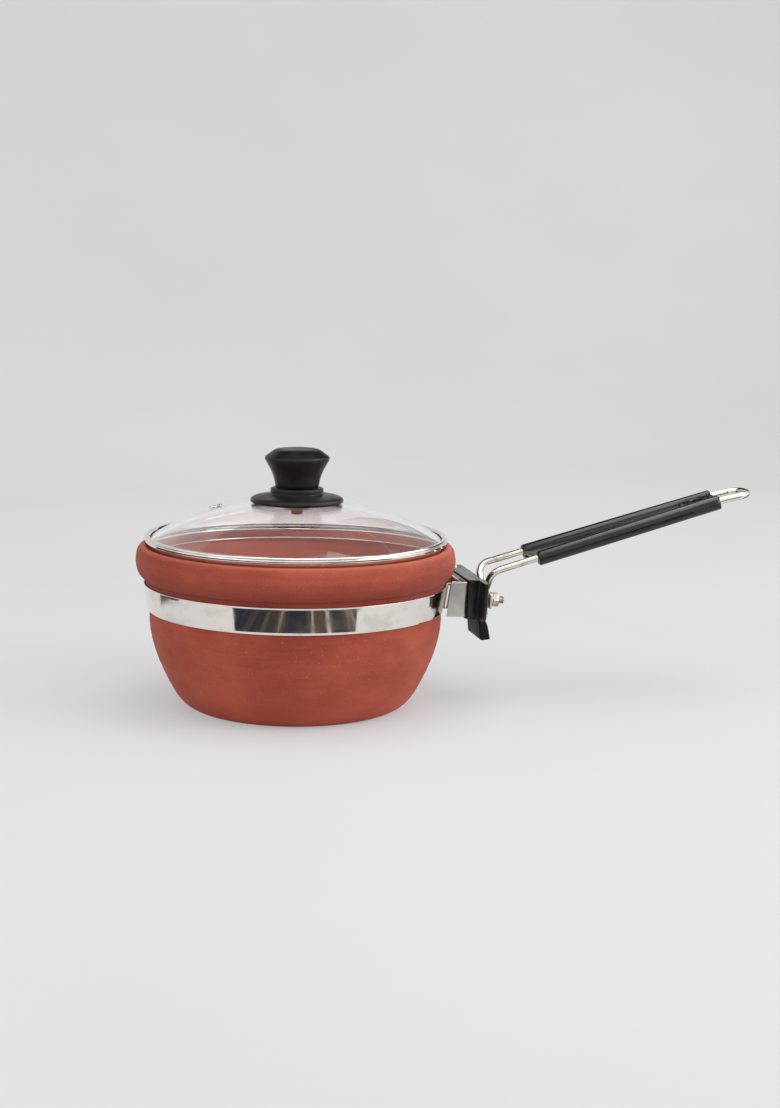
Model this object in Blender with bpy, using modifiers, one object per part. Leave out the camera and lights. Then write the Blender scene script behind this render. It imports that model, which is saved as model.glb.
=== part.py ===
# Clay frying pan with a clamped wire handle and a glass lid.
# Metres, +Z up. The origin is the middle of the foot, on the surface the pan stands on.
# +X runs along the handle.

import math

import bmesh
import bpy
from mathutils import Matrix, Vector

mm = 0.001

# Fits and smoothness
gap = 0.3 * mm
seat_play = 0.2 * mm
leg_play = 0.1 * mm
arm_play = 1 * mm
cut_over = 1 * mm
bowl_steps = 45
knob_steps = 28
small_steps = 20
washer_steps = 16

# Widths, each step outwards or inwards from the lid's bead
lid_radius = 90 * mm
ring_border = 5.8 * mm
rim_border = 5.9 * mm
neck_inset = 1.4 * mm
belly_inset = 13.4 * mm
foot_inset = 16.2 * mm

# Clay bowl
foot_round = 8 * mm
belly_height = 13.4 * mm
belly_lean = 0.53
wall_thickness = 8 * mm
floor_thickness = 9 * mm
rim_above_band = 3.3 * mm
rim_underside = 10.4 * mm
rim_shoulder = 8.8 * mm
crest_round = 1.5 * mm
seat_depth = 2.4 * mm
seat_corner = 1.2 * mm

# Steel band
band_low = 59 * mm
band_height = 15.7 * mm
band_flare = 2.4 * mm
band_thickness = 0.8 * mm
band_bend = 1.6 * mm
tab_reach = 7 * mm

# Clamp, in a frame whose origin is on the bolt's axis at the guard's inner face
clamp_reach = 12.2 * mm
clamp_rise = 2.3 * mm
clamp_lean = math.radians(3)
bracket_half_width = 22 * mm
bracket_thickness = 1.5 * mm
bracket_bend = 3 * mm
bracket_up = 14.0 * mm
bracket_down = 7.4 * mm
guard_up = 15.4 * mm
guard_down = 19.3 * mm
guard_depth = 8.9 * mm
guard_lip = 2.3 * mm
guard_plate = 2 * mm
guard_half_width = 35 * mm
guard_round = 0.8 * mm
chamfer_start = 11.5 * mm
cheek_thickness = 3.5 * mm
hollow_start = 9.5 * mm
boss_half_width = 12 * mm
boss_up = 8 * mm
boss_down = 13 * mm
boss_height = 4.2 * mm
plate_half_width = 8 * mm
plate_half_height = 4.7 * mm
plate_thickness = 1.5 * mm
bolt_radius = 2.5 * mm
bolt_head_radius = 5 * mm
bolt_head_height = 2.6 * mm
bolt_end = 3.6 * mm
nut_width = 8 * mm
nut_height = 4 * mm
washer_radius = 4.6 * mm
washer_thickness = 1 * mm

# Handle wire
wire_radius = 2.15 * mm
wire_half_spacing = 15.1 * mm
wire_tail = 9 * mm
leg_spread_up = 11 * mm
leg_bend = 4 * mm
shoulder_bend = 7.5 * mm
loop_bend = 9 * mm
tail_bend = 2 * mm
handle_slope = math.radians(15.6)
loop_reach = 25 * mm
tail_slope = math.radians(11.5)

# Grip
grip_start = 28.6 * mm
grip_length = 120.8 * mm
barrel_half_width = 4.6 * mm
barrel_half_height = 4.5 * mm
barrel_drop = 0.5 * mm
web_thickness = 3.5 * mm
grip_round = 1.4 * mm
tail_block = 23 * mm
hang_hole_radius = 5.5 * mm
hang_hole_inset = 9.5 * mm

# Lid
glass_rise = 27.9 * mm
glass_thickness = 3.6 * mm
dome_drop = 22.3 * mm
dome_power = 2.4
glass_hole_radius = 3.5 * mm
ring_sheet = 0.7 * mm
ring_height = 7.6 * mm
bead_height = 3.8 * mm
bead_overhang = 1.2 * mm
ring_lip = 3.2 * mm
ring_round = 1.7 * mm
bead_round = 0.6 * mm
lid_play = 1.2 * mm

# Steam vent
vent_place = (-45.5 * mm, 25.7 * mm)
vent_bore_radius = 1.6 * mm
vent_tube = 0.8 * mm
vent_flange_radius = 4.2 * mm
vent_flange = 0.8 * mm

# Knob
base_radius = 27.9 * mm
base_edge = 2.6 * mm
collar_radius = 15.8 * mm
collar_top = 7.9 * mm
flange_top = 4.2 * mm
waist_radius = 13.2 * mm
knob_height = 23 * mm
knob_radius = 19.6 * mm
knob_chamfer = 5.6 * mm
knob_flat_radius = 12.2 * mm
gasket_radius = 11 * mm
gasket_thickness = 0.8 * mm
under_gasket_radius = 7 * mm
screw_radius = 2 * mm
screw_head_radius = 3.8 * mm
screw_head_height = 2.5 * mm
under_washer_radius = 7.5 * mm
under_washer_thickness = 0.8 * mm
insert_radius = 3.8 * mm
insert_length = 11 * mm

# Sizes that follow from the ones above
glass_radius = lid_radius - ring_border
rim_radius = lid_radius + rim_border
band_radius = lid_radius - neck_inset
belly_radius = band_radius - belly_inset
foot_radius = belly_radius - foot_inset
bolt_hole_radius = bolt_radius + gap
band_top = band_low + band_height
band_middle = band_low + band_height / 2
clamp_height = band_low + clamp_rise
rim_low = band_top + rim_above_band
rim_middle = rim_low + rim_underside
rim_top = rim_middle + rim_shoulder
band_cone = band_flare / band_height
neck_low_radius = band_radius - band_thickness - gap
neck_top_radius = neck_low_radius + band_flare
spigot_radius = lid_radius - bead_overhang
seat_outer_radius = spigot_radius + gap + seat_play
seat_level = rim_top - seat_depth
channel_radius = glass_radius + gap + ring_sheet
seat_inner_radius = channel_radius + lid_play
clamp_x = band_radius + clamp_reach
web_inner = -gap - bracket_thickness
arm_clearance = band_bend + arm_play
outer_tab = web_inner - gap - band_thickness / 2
inner_tab = outer_tab - band_thickness - gap
boss_face = guard_depth + boss_height
wire_depth = boss_face + gap + wire_radius
plate_face = wire_depth + wire_radius + gap
washer_face = plate_face + plate_thickness + gap
nut_face = washer_face + washer_thickness + gap
bolt_tip = nut_face + nut_height + bolt_end
leg_spacing = bolt_radius + wire_radius + gap + leg_play
ring_bottom = seat_level + gap
ring_top = ring_bottom + ring_height
glass_top = ring_bottom + glass_rise


def material(name, colour, roughness, metallic=0.0, transmission=0.0):
    made = bpy.data.materials.new(name)
    made.use_nodes = True
    made.diffuse_color = (*colour, 1.0)
    shader = made.node_tree.nodes["Principled BSDF"]
    shader.inputs["Base Color"].default_value = (*colour, 1.0)
    shader.inputs["Roughness"].default_value = roughness
    shader.inputs["Metallic"].default_value = metallic
    shader.inputs["Transmission Weight"].default_value = transmission
    return made


def clear_scene():
    for item in list(bpy.data.objects):
        bpy.data.objects.remove(item, do_unlink=True)


def new_collection(name):
    made = bpy.data.collections.new(name)
    bpy.context.scene.collection.children.link(made)
    return made


def add_object(name, data, finish=None, parent=None):
    """Parts go in the object's collection, and what has no finish is a cutter."""
    made = bpy.data.objects.new(name, data)
    made.parent = parent
    if finish is None:
        cutters.objects.link(made)
        made.hide_render = True
        made.display_type = "WIRE"
    else:
        parts.objects.link(made)
        data.materials.append(finish)
    return made


def add_frame(name, place, turn_about_y):
    frame = bpy.data.objects.new(name, None)
    frame.location = place
    frame.rotation_euler = (0.0, turn_about_y, 0.0)
    parts.objects.link(frame)
    return frame


# Curves as lists of points

def bezier(start, start_pull, end_pull, end, count):
    points = []
    for step in range(count + 1):
        t = step / count
        s = 1 - t
        weights = (s * s * s, 3 * s * s * t, 3 * s * t * t, t * t * t)
        controls = (start, start_pull, end_pull, end)
        points.append(tuple(sum(w * c[axis] for w, c in zip(weights, controls)) for axis in (0, 1)))
    return points


def arc(centre, radii, start, end, count, power=2.0):
    """Points of a superellipse arc; power 2 gives a plain ellipse."""
    points = []
    for step in range(count + 1):
        angle = math.radians(start + (end - start) * step / count)
        across = math.copysign(abs(math.cos(angle)) ** (2 / power), math.cos(angle))
        up = math.copysign(abs(math.sin(angle)) ** (2 / power), math.sin(angle))
        points.append((centre[0] + radii[0] * across, centre[1] + radii[1] * up))
    return points


def offset_line(points, distances):
    """Each point moved to the left of the line's direction by its own distance."""
    moved = []
    for index, point in enumerate(points):
        before = Vector(points[max(index - 1, 0)])
        after = Vector(points[min(index + 1, len(points) - 1)])
        along = (after - before).normalized()
        moved.append((point[0] - along.y * distances[index], point[1] + along.x * distances[index]))
    return moved


def rounded_path(corners, bends, steps=5):
    """A path through corners, each inner corner rounded by an arc of its bend radius."""
    corners = [Vector(corner) for corner in corners]
    path = [corners[0]]
    for index in range(1, len(corners) - 1):
        corner = corners[index]
        back = (corners[index - 1] - corner).normalized()
        ahead = (corners[index + 1] - corner).normalized()
        turn = math.pi - back.angle(ahead)
        if turn < 0.01 or bends[index - 1] <= 0:
            path.append(corner)
            continue
        run = bends[index - 1] * math.tan(turn / 2)
        middle = (back + ahead).normalized()
        centre = corner + middle * (bends[index - 1] / math.cos(turn / 2))
        first = (corner + back * run - centre).normalized()
        last = (corner + ahead * run - centre).normalized()
        for step in range(steps + 1):
            path.append(centre + first.slerp(last, step / steps) * bends[index - 1])
    path.append(corners[-1])
    return path


# Meshes

def mesh_from(name, vertices, edges=(), faces=()):
    data = bpy.data.meshes.new(name)
    data.from_pydata([tuple(vertex) for vertex in vertices], list(edges), list(faces))
    data.update()
    return data


def shade(data, angle=35):
    data.shade_smooth()
    data.set_sharp_from_angle(angle=math.radians(angle))


def turned(name, profile, steps, finish=None, parent=None, closed=False):
    """A profile of (radius, height) turned about Z, running down its outer side."""
    vertices = [(radius, 0.0, height) for radius, height in profile]
    edges = [(index, index + 1) for index in range(len(profile) - 1)]
    if closed:
        edges.append((len(profile) - 1, 0))
    made = add_object(name, mesh_from(name, vertices, edges), finish, parent)
    screw = made.modifiers.new("Turn", "SCREW")
    screw.axis = "Z"
    screw.angle = 2 * math.pi
    screw.steps = steps
    screw.render_steps = steps
    screw.use_merge_vertices = True
    screw.merge_threshold = 0.00002
    screw.use_smooth_shade = True
    return made


def sheet(name, rows, thickness, finish=None, parent=None):
    """A bent sheet through rows of points, thickened evenly about its middle."""
    across = len(rows[0])
    vertices = [point for row in rows for point in row]
    faces = []
    for row in range(len(rows) - 1):
        for column in range(across - 1):
            first = row * across + column
            faces.append((first, first + across, first + across + 1, first + 1))
    data = mesh_from(name, vertices, faces=faces)
    made = add_object(name, data, finish, parent)
    solidify = made.modifiers.new("Thickness", "SOLIDIFY")
    solidify.thickness = thickness
    solidify.offset = 0.0
    solidify.use_even_offset = True
    return made


def outline_solid(name, outline, half_depth, place, finish=None, parent=None):
    """A flat outline extruded to both sides, as a mesh with welded caps."""
    curve = bpy.data.curves.new(name, "CURVE")
    curve.dimensions = "2D"
    curve.fill_mode = "BOTH"
    curve.extrude = half_depth
    spline = curve.splines.new("POLY")
    spline.points.add(len(outline) - 1)
    for point, (across, up) in zip(spline.points, outline):
        point.co = (across, up, 0.0, 1.0)
    spline.use_cyclic_u = True
    return curve_to_mesh(name, curve, place, finish, parent)


def curve_to_mesh(name, curve, place, finish, parent):
    holder = bpy.data.objects.new(name + "_outline", curve)
    bpy.context.scene.collection.objects.link(holder)
    bpy.context.view_layer.update()
    evaluated = holder.evaluated_get(bpy.context.evaluated_depsgraph_get())
    data = bpy.data.meshes.new_from_object(evaluated)
    bpy.data.objects.remove(holder, do_unlink=True)
    bpy.data.curves.remove(curve)
    work = bmesh.new()
    work.from_mesh(data)
    bmesh.ops.remove_doubles(work, verts=work.verts, dist=0.00001)
    bmesh.ops.recalc_face_normals(work, faces=work.faces)
    work.to_mesh(data)
    work.free()
    data.materials.clear()
    data.transform(place)
    data.name = name
    made = add_object(name, data, finish, parent)
    return made


def cylinder(name, radius, low, high, place, sides, finish=None, parent=None, top_radius=None):
    """A cylinder from low to high along the local Z of place."""
    work = bmesh.new()
    bmesh.ops.create_cone(
        work,
        cap_ends=True,
        segments=sides,
        radius1=radius,
        radius2=radius if top_radius is None else top_radius,
        depth=high - low,
        matrix=place @ Matrix.Translation((0.0, 0.0, (high + low) / 2)),
    )
    data = bpy.data.meshes.new(name)
    work.to_mesh(data)
    work.free()
    return add_object(name, data, finish, parent)


def box(name, low, high, finish=None, parent=None):
    size = Vector(high) - Vector(low)
    middle = (Vector(high) + Vector(low)) / 2
    work = bmesh.new()
    bmesh.ops.create_cube(work, matrix=Matrix.Translation(middle) @ Matrix.Diagonal((*size, 1.0)))
    data = bpy.data.meshes.new(name)
    work.to_mesh(data)
    work.free()
    return add_object(name, data, finish, parent)


def combine(target, other, operation, solver="EXACT"):
    modifier = target.modifiers.new(other.name, "BOOLEAN")
    modifier.operation = operation
    modifier.solver = solver
    modifier.object = other


def round_edges(target, width, angle=60, segments=2):
    modifier = target.modifiers.new("Round", "BEVEL")
    modifier.width = width
    modifier.segments = segments
    modifier.limit_method = "ANGLE"
    modifier.angle_limit = math.radians(angle)


# Turns that lay a local Z axis along world or clamp X, and an outline into the XZ plane
along_x = Matrix.Rotation(math.radians(90), 4, "Y")
into_xz = Matrix.Rotation(math.radians(90), 4, "X")


# The clay bowl

def outer_wall():
    """The wall's outer line from the foot up to the band."""
    belly = (belly_radius, belly_height)
    low_pull = belly_height * 0.45
    high_pull = (band_low - belly_height) * 0.33
    foot = bezier(
        (foot_radius, 0.0),
        (foot_radius + foot_round, 0.0),
        (belly_radius - belly_lean * low_pull, belly_height - low_pull),
        belly,
        4,
    )
    side = bezier(
        belly,
        (belly_radius + belly_lean * high_pull, belly_height + high_pull),
        (neck_low_radius + 1.6 * mm, band_low - high_pull),
        (neck_low_radius, band_low),
        4,
    )
    return foot, side


def bowl_profile():
    foot, side = outer_wall()
    outside = foot + side[1:]
    thicknesses = []
    for index in range(len(outside)):
        share = min(index / (len(foot) - 1), 1.0)
        thicknesses.append(floor_thickness + (wall_thickness - floor_thickness) * share)
    inside = offset_line(outside, thicknesses)
    inside[0] = (foot_radius, floor_thickness)
    rise = seat_level - seat_corner - band_low
    upper = bezier(
        inside[-1],
        (inside[-1][0], band_low + rise * 0.4),
        (seat_inner_radius, seat_level - seat_corner - rise * 0.4),
        (seat_inner_radius, seat_level - seat_corner),
        4,
    )
    seat_turn = arc((seat_inner_radius + seat_corner, seat_level - seat_corner),
                    (seat_corner, seat_corner), 180, 90, 2)
    crest_centre = seat_outer_radius + crest_round
    crest = arc((crest_centre, rim_top - crest_round), (crest_round, crest_round), 180, 90, 3)
    shoulder = arc((crest_centre, rim_middle), (rim_radius - crest_centre, rim_top - rim_middle), 90, 0, 6)
    neck_edge = neck_top_radius + gap
    underside = arc((neck_edge, rim_middle), (rim_radius - neck_edge, rim_middle - rim_low), 0, -90, 6)
    neck = [(neck_top_radius, rim_low - 1 * mm), (neck_top_radius, band_top)]
    return ([(0.0, floor_thickness)] + inside + upper[1:] + seat_turn[1:] + [(seat_outer_radius, seat_level)]
            + crest + shoulder[1:] + underside[1:] + neck + outside[::-1] + [(0.0, 0.0)])


def make_bowl():
    turned("clay_bowl", bowl_profile(), bowl_steps, clay)


# The steel band and its clamp

def make_band():
    """A strip round the neck, its ends bent out along the arms and lapped over the web."""
    middle_radius = band_radius + band_flare / 2 - band_thickness / 2
    ear_side = bracket_half_width - bracket_thickness - gap - band_thickness / 2
    leave = math.asin(ear_side / middle_radius)
    turns = 52
    circle = []
    for step in range(turns + 1):
        angle = leave + (2 * math.pi - 2 * leave) * step / turns
        circle.append(Vector((middle_radius * math.cos(angle), middle_radius * math.sin(angle))))
    outer_x = clamp_x + outer_tab
    inner_x = clamp_x + inner_tab
    start = rounded_path(
        [(outer_x, -tab_reach), (outer_x, ear_side), circle[0], circle[1]],
        [band_bend, band_bend], 3)
    finish = rounded_path(
        [circle[-2], circle[-1], (inner_x, -ear_side), (inner_x, tab_reach)],
        [band_bend, band_bend], 3)
    path = start + circle[2:-2] + finish
    rows = []
    for point in path:
        outward = min(max((point.x - circle[0].x) / (outer_x - circle[0].x), 0.0), 1.0)
        on_circle = point.normalized()
        row = []
        for level in (band_low, band_middle, band_top):
            cone = on_circle * (level - band_middle) * band_cone
            lean = Vector(((level - clamp_height) * math.tan(clamp_lean), 0.0))
            shift = cone * (1 - outward) + lean * outward
            row.append((point.x + shift.x, point.y + shift.y, level))
        rows.append(row)
    band = sheet("steel_band", rows, band_thickness, polished_steel)
    shade(band.data, 50)
    hole = cylinder("band_bolt_hole", bolt_hole_radius, inner_tab - cut_over, outer_tab + cut_over, along_x,
                    small_steps, parent=clamp)
    combine(band, hole, "DIFFERENCE")


def make_bracket():
    """A U of thick strip whose arms end on the band."""
    side = bracket_half_width - bracket_thickness / 2
    web = web_inner + bracket_thickness / 2
    arm_end = -clamp_reach - 4 * mm
    plan = rounded_path([(arm_end, -side), (web, -side), (web, side), (arm_end, side)],
                        [bracket_bend, bracket_bend], 4)
    rows = [[(point.x, point.y, level) for level in (-bracket_down, bracket_up)] for point in plan]
    bracket = sheet("clamp_bracket", rows, bracket_thickness, satin_steel, clamp)
    shade(bracket.data, 50)
    over = 20 * mm
    low = band_radius + arm_clearance - band_cone * over
    high = band_radius + band_flare + arm_clearance + band_cone * over
    envelope = cylinder("band_envelope", low, band_low - over, band_top + over,
                        Matrix.Identity(4), 96, top_radius=high)
    hole = cylinder("bracket_bolt_hole", bolt_hole_radius, web_inner - cut_over, cut_over, along_x,
                    small_steps, parent=clamp)
    combine(bracket, envelope, "DIFFERENCE")
    combine(bracket, hole, "DIFFERENCE")


def guard_outer_line():
    """The guard's outer face from the top down to its flared lip, as (depth, height)."""
    flare_start = -guard_down * 0.3
    lip = bezier(
        (guard_depth, flare_start),
        (guard_depth, flare_start - guard_down * 0.25),
        (guard_depth + guard_lip * 0.7, -guard_down * 0.7),
        (guard_depth + guard_lip, -guard_down + 1.5 * mm),
        5,
    )
    return [(guard_depth, guard_up)] + lip


def make_guard():
    """A moulded block against the bracket, a wider plate outside it and a boss for the wire."""
    outer = guard_outer_line()
    tuck = guard_plate / 2
    block_outline = [
        (0.0, guard_up - tuck),
        (guard_depth - tuck, guard_up - tuck),
        *[(depth - tuck, height) for depth, height in outer[1:]],
        (guard_depth, tuck - guard_down),
        (guard_depth * 0.34, -guard_down * 0.87),
        (guard_depth * 0.18, -guard_down * 0.75),
        (0.0, -chamfer_start),
    ]
    guard = outline_solid("heat_guard", block_outline, bracket_half_width, into_xz, bakelite, clamp)
    round_edges(guard, guard_round, 50)
    inner = [(depth - guard_plate, height) for depth, height in outer]
    tip = [(guard_depth + guard_lip - guard_plate * 0.6, -guard_down)]
    wings = outline_solid("guard_wings", outer + tip + inner[::-1], guard_half_width, into_xz, parent=clamp)
    round_edges(wings, guard_round * 0.7, 50)
    boss = box("guard_boss", (guard_depth - 3 * mm, -boss_half_width, -boss_down),
               (boss_face, boss_half_width, boss_up), parent=clamp)
    round_edges(boss, guard_round, 50)
    cheek_inner = bracket_half_width - cheek_thickness
    hollow = box("guard_hollow", (-cut_over, -cheek_inner, -guard_down - cut_over),
                 (guard_depth - guard_plate, cheek_inner, -hollow_start), parent=clamp)
    hole = cylinder("guard_bolt_hole", bolt_hole_radius, -cut_over, boss_face + cut_over, along_x,
                    small_steps, parent=clamp)
    combine(guard, hollow, "DIFFERENCE", "MANIFOLD")
    combine(guard, boss, "UNION", "MANIFOLD")
    combine(guard, wings, "UNION", "MANIFOLD")
    combine(guard, hole, "DIFFERENCE", "MANIFOLD")
    shade(guard.data, 40)


def make_clamp_fasteners():
    plate = box("wire_clamp_plate", (plate_face, -plate_half_width, -plate_half_height),
                (plate_face + plate_thickness, plate_half_width, plate_half_height), satin_steel, clamp)
    round_edges(plate, 0.5 * mm)
    plate_hole = cylinder("plate_bolt_hole", bolt_hole_radius, plate_face - cut_over,
                          washer_face + cut_over, along_x, small_steps, parent=clamp)
    combine(plate, plate_hole, "DIFFERENCE")

    head_face = inner_tab - band_thickness / 2 - gap
    bolt_profile = [(0.0, -head_face + bolt_head_height)]
    bolt_profile += [(radius, height) for radius, height in
                     arc((0.0, -head_face), (bolt_head_radius, bolt_head_height), 90, 0, 5)][1:]
    bolt_profile += [(bolt_radius, -head_face), (bolt_radius, -bolt_tip + 0.6 * mm),
                     (bolt_radius - 0.6 * mm, -bolt_tip), (0.0, -bolt_tip)]
    bolt = turned("clamp_bolt", bolt_profile, small_steps, satin_steel, clamp)
    bolt.rotation_euler = (0.0, math.radians(-90), 0.0)

    turned_washer = [(bolt_hole_radius, washer_thickness), (washer_radius, washer_thickness),
                     (washer_radius, 0.0), (bolt_hole_radius, 0.0)]
    washer = turned("lock_washer", turned_washer, small_steps, satin_steel, clamp, closed=True)
    washer.location = (washer_face, 0.0, 0.0)
    washer.rotation_euler = (0.0, math.radians(90), 0.0)

    nut = cylinder("clamp_nut", nut_width / math.sqrt(3), nut_face, nut_face + nut_height, along_x, 6,
                   satin_steel, clamp)
    round_edges(nut, 0.4 * mm, 30, 1)
    nut_hole = cylinder("nut_thread_hole", bolt_hole_radius, nut_face - cut_over,
                        nut_face + nut_height + cut_over, along_x, small_steps, parent=clamp)
    combine(nut, nut_hole, "DIFFERENCE")


# The handle

def clamp_point(depth, side, height):
    """A point of the clamp's leaning frame, in world space."""
    cos, sin = math.cos(clamp_lean), math.sin(clamp_lean)
    return Vector((clamp_x + depth * cos + height * sin, side, clamp_height - depth * sin + height * cos))


def sloping(angle):
    """The direction along +X that rises by an angle."""
    return Vector((math.cos(angle), 0.0, math.sin(angle)))


def shoulder_point(side):
    """Where a leg's upright run would meet the handle's sloping run."""
    return clamp_point(wire_depth, side, guard_up + 4 * mm)


def wire_corners(side):
    """One leg from its end beside the bolt to the loop's corner."""
    spread_start = leg_bend * 0.3
    near_bolt = math.copysign(leg_spacing, side)
    shoulder = shoulder_point(side)
    tail_corner = shoulder + sloping(handle_slope) * (grip_start + grip_length + tail_bend)
    loop_corner = tail_corner + sloping(tail_slope) * (loop_reach - tail_bend)
    return [
        clamp_point(wire_depth, near_bolt, -wire_tail),
        clamp_point(wire_depth, near_bolt, spread_start),
        clamp_point(wire_depth, side, spread_start + leg_spread_up),
        shoulder,
        tail_corner,
        loop_corner,
    ]


def make_wire():
    one = wire_corners(-wire_half_spacing)
    other = wire_corners(wire_half_spacing)
    bends = [leg_bend, leg_bend, shoulder_bend, tail_bend * 4, loop_bend]
    path = rounded_path(one + other[::-1], bends + bends[::-1], 5)
    curve = bpy.data.curves.new("handle_wire", "CURVE")
    curve.dimensions = "3D"
    curve.bevel_depth = wire_radius
    curve.bevel_resolution = 3
    curve.use_fill_caps = True
    spline = curve.splines.new("POLY")
    spline.points.add(len(path) - 1)
    for point, place in zip(spline.points, path):
        point.co = (*place, 1.0)
    add_object("handle_wire", curve, nickel)


def grip_outline():
    """Two egg-like barrels joined by a thinner web, as (side, height) round the section."""
    rise = web_thickness / 2
    reach = barrel_half_width * math.sqrt(1 - (rise / barrel_half_height) ** 2)
    meet = math.degrees(math.atan2(rise / barrel_half_height, reach / barrel_half_width))
    right = arc((wire_half_spacing, -barrel_drop), (barrel_half_width, barrel_half_height),
                -180 + meet, 180 - meet, 15)
    left = [(-side, height) for side, height in right[::-1]]
    return right + left


def make_grip():
    """A moulding of two bored barrels with a flat tail that has a hanging hole."""
    section = grip_outline()
    lengthwise = Matrix(((0, 0, 1, grip_length / 2), (1, 0, 0, 0), (0, 1, 0, 0), (0, 0, 0, 1)))
    grip = outline_solid("handle_grip", section, grip_length / 2, lengthwise, bakelite, grip_frame)
    round_edges(grip, grip_round, 85)
    half_width = wire_half_spacing + barrel_half_width * 0.6
    tail = box("grip_tail", (grip_length - tail_block, -half_width, -barrel_drop - barrel_half_height * 0.96),
               (grip_length - 0.2 * mm, half_width, -barrel_drop + barrel_half_height * 0.96),
               parent=grip_frame)
    round_edges(tail, grip_round * 0.9, 60)
    combine(grip, tail, "UNION")
    for side, name in ((-1, "near"), (1, "far")):
        place = Matrix.Translation((0.0, side * wire_half_spacing, 0.0)) @ along_x
        bore = cylinder(name + "_wire_bore", wire_radius + gap, -5 * mm, grip_length + 5 * mm, place,
                        16, parent=grip_frame)
        combine(grip, bore, "DIFFERENCE")
    hole_place = Matrix.Translation((grip_length - hang_hole_inset, 0.0, -barrel_drop))
    hole = cylinder("grip_hang_hole", hang_hole_radius, -10 * mm, 10 * mm, hole_place, 24, parent=grip_frame)
    combine(grip, hole, "DIFFERENCE")
    shade(grip.data, 40)


# The lid

def dome(radius):
    """Height of the glass's outer face at a radius."""
    return glass_top - dome_drop * (radius / glass_radius) ** dome_power


def glass_profile():
    rings = 8
    radii = [glass_hole_radius + (glass_radius - glass_hole_radius) * (step / rings) ** 0.8
             for step in range(rings + 1)]
    outer = [(radius, dome(radius)) for radius in radii]
    inner = [(radius, height - glass_thickness) for radius, height in outer]
    return outer + inner[::-1]


def vent_matrix():
    """The vent's place on the glass, with local Z along the glass's normal."""
    x, y = vent_place
    radius = math.hypot(x, y)
    slope = dome_drop * dome_power / glass_radius * (radius / glass_radius) ** (dome_power - 1)
    tilt = Matrix.Rotation(math.atan(slope), 4, "Y")
    turn = Matrix.Rotation(math.atan2(y, x), 4, "Z")
    return Matrix.Translation((x, y, dome(radius))) @ turn @ tilt


def make_glass():
    pane = turned("lid_glass", glass_profile(), bowl_steps, glass, closed=True)
    hole = cylinder("vent_hole", vent_bore_radius + vent_tube + gap, -glass_thickness * 2,
                    glass_thickness, vent_matrix(), small_steps)
    combine(pane, hole, "DIFFERENCE")


def make_ring():
    """A rolled channel: over the glass edge, out to the bead, back under the glass."""
    half = ring_sheet / 2
    lip_radius = glass_radius - ring_lip
    lip = dome(lip_radius) + gap + half
    top = ring_top - half
    bottom = ring_bottom + half
    under = dome(glass_radius) - glass_thickness - 2 * gap - half
    outer = lid_radius - half
    inner = channel_radius - half
    bead_low = ring_top - bead_height + half
    spigot = spigot_radius - half
    corners = [
        (lip_radius, lip),
        (outer, top),
        (outer, bead_low),
        (spigot, bead_low),
        (spigot, bottom),
        (inner, bottom),
        (inner, under),
        (lip_radius - 0.6 * mm, under + (dome(lip_radius) - dome(glass_radius))),
    ]
    path = rounded_path(corners, [ring_round, bead_round, 0.0, 0.0, 0.0, 0.0], 2)
    path = [(point.x, point.y) for point in path]
    outside = offset_line(path, [half] * len(path))
    inside = offset_line(path, [-half] * len(path))
    turned("lid_rim", outside + inside[::-1], bowl_steps, polished_steel, closed=True)


def make_vent():
    tube = vent_bore_radius + vent_tube
    low = -glass_thickness * 1.1 - gap
    profile = [
        (vent_bore_radius, gap + vent_flange),
        (vent_flange_radius - 0.4 * mm, gap + vent_flange),
        (vent_flange_radius, gap),
        (tube, gap),
        (tube, low),
        (vent_bore_radius, low),
    ]
    vent = turned("vent_eyelet", profile, small_steps, polished_steel, closed=True)
    vent.matrix_world = vent_matrix()


# The knob

def make_knob_base():
    """A dished flange that rests on the glass near its edge, with a collar for the knob."""
    edge_radius = base_radius - 1.4 * mm
    edge = dome(edge_radius) + gap
    dish = glass_top + gap + gasket_thickness + gap
    flange = glass_top + flange_top
    rounding = bezier(
        (base_radius - 5 * mm, flange - 1.1 * mm),
        (base_radius - 1.2 * mm, flange - 1.6 * mm),
        (base_radius + 0.2 * mm, edge + base_edge),
        (base_radius - 0.2 * mm, edge + base_edge * 0.3),
        5,
    )
    profile = [
        (screw_radius + gap, glass_top + collar_top),
        (collar_radius - 1.3 * mm, glass_top + collar_top),
        (collar_radius, glass_top + collar_top - 1.2 * mm),
        (collar_radius, flange),
        *rounding,
        (edge_radius, edge),
        (edge_radius - 1.6 * mm, edge + 0.5 * mm),
        (gasket_radius + 1.2 * mm, dish),
        (screw_radius + gap, dish),
    ]
    turned("knob_base", profile, knob_steps, bakelite, closed=True)


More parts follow.
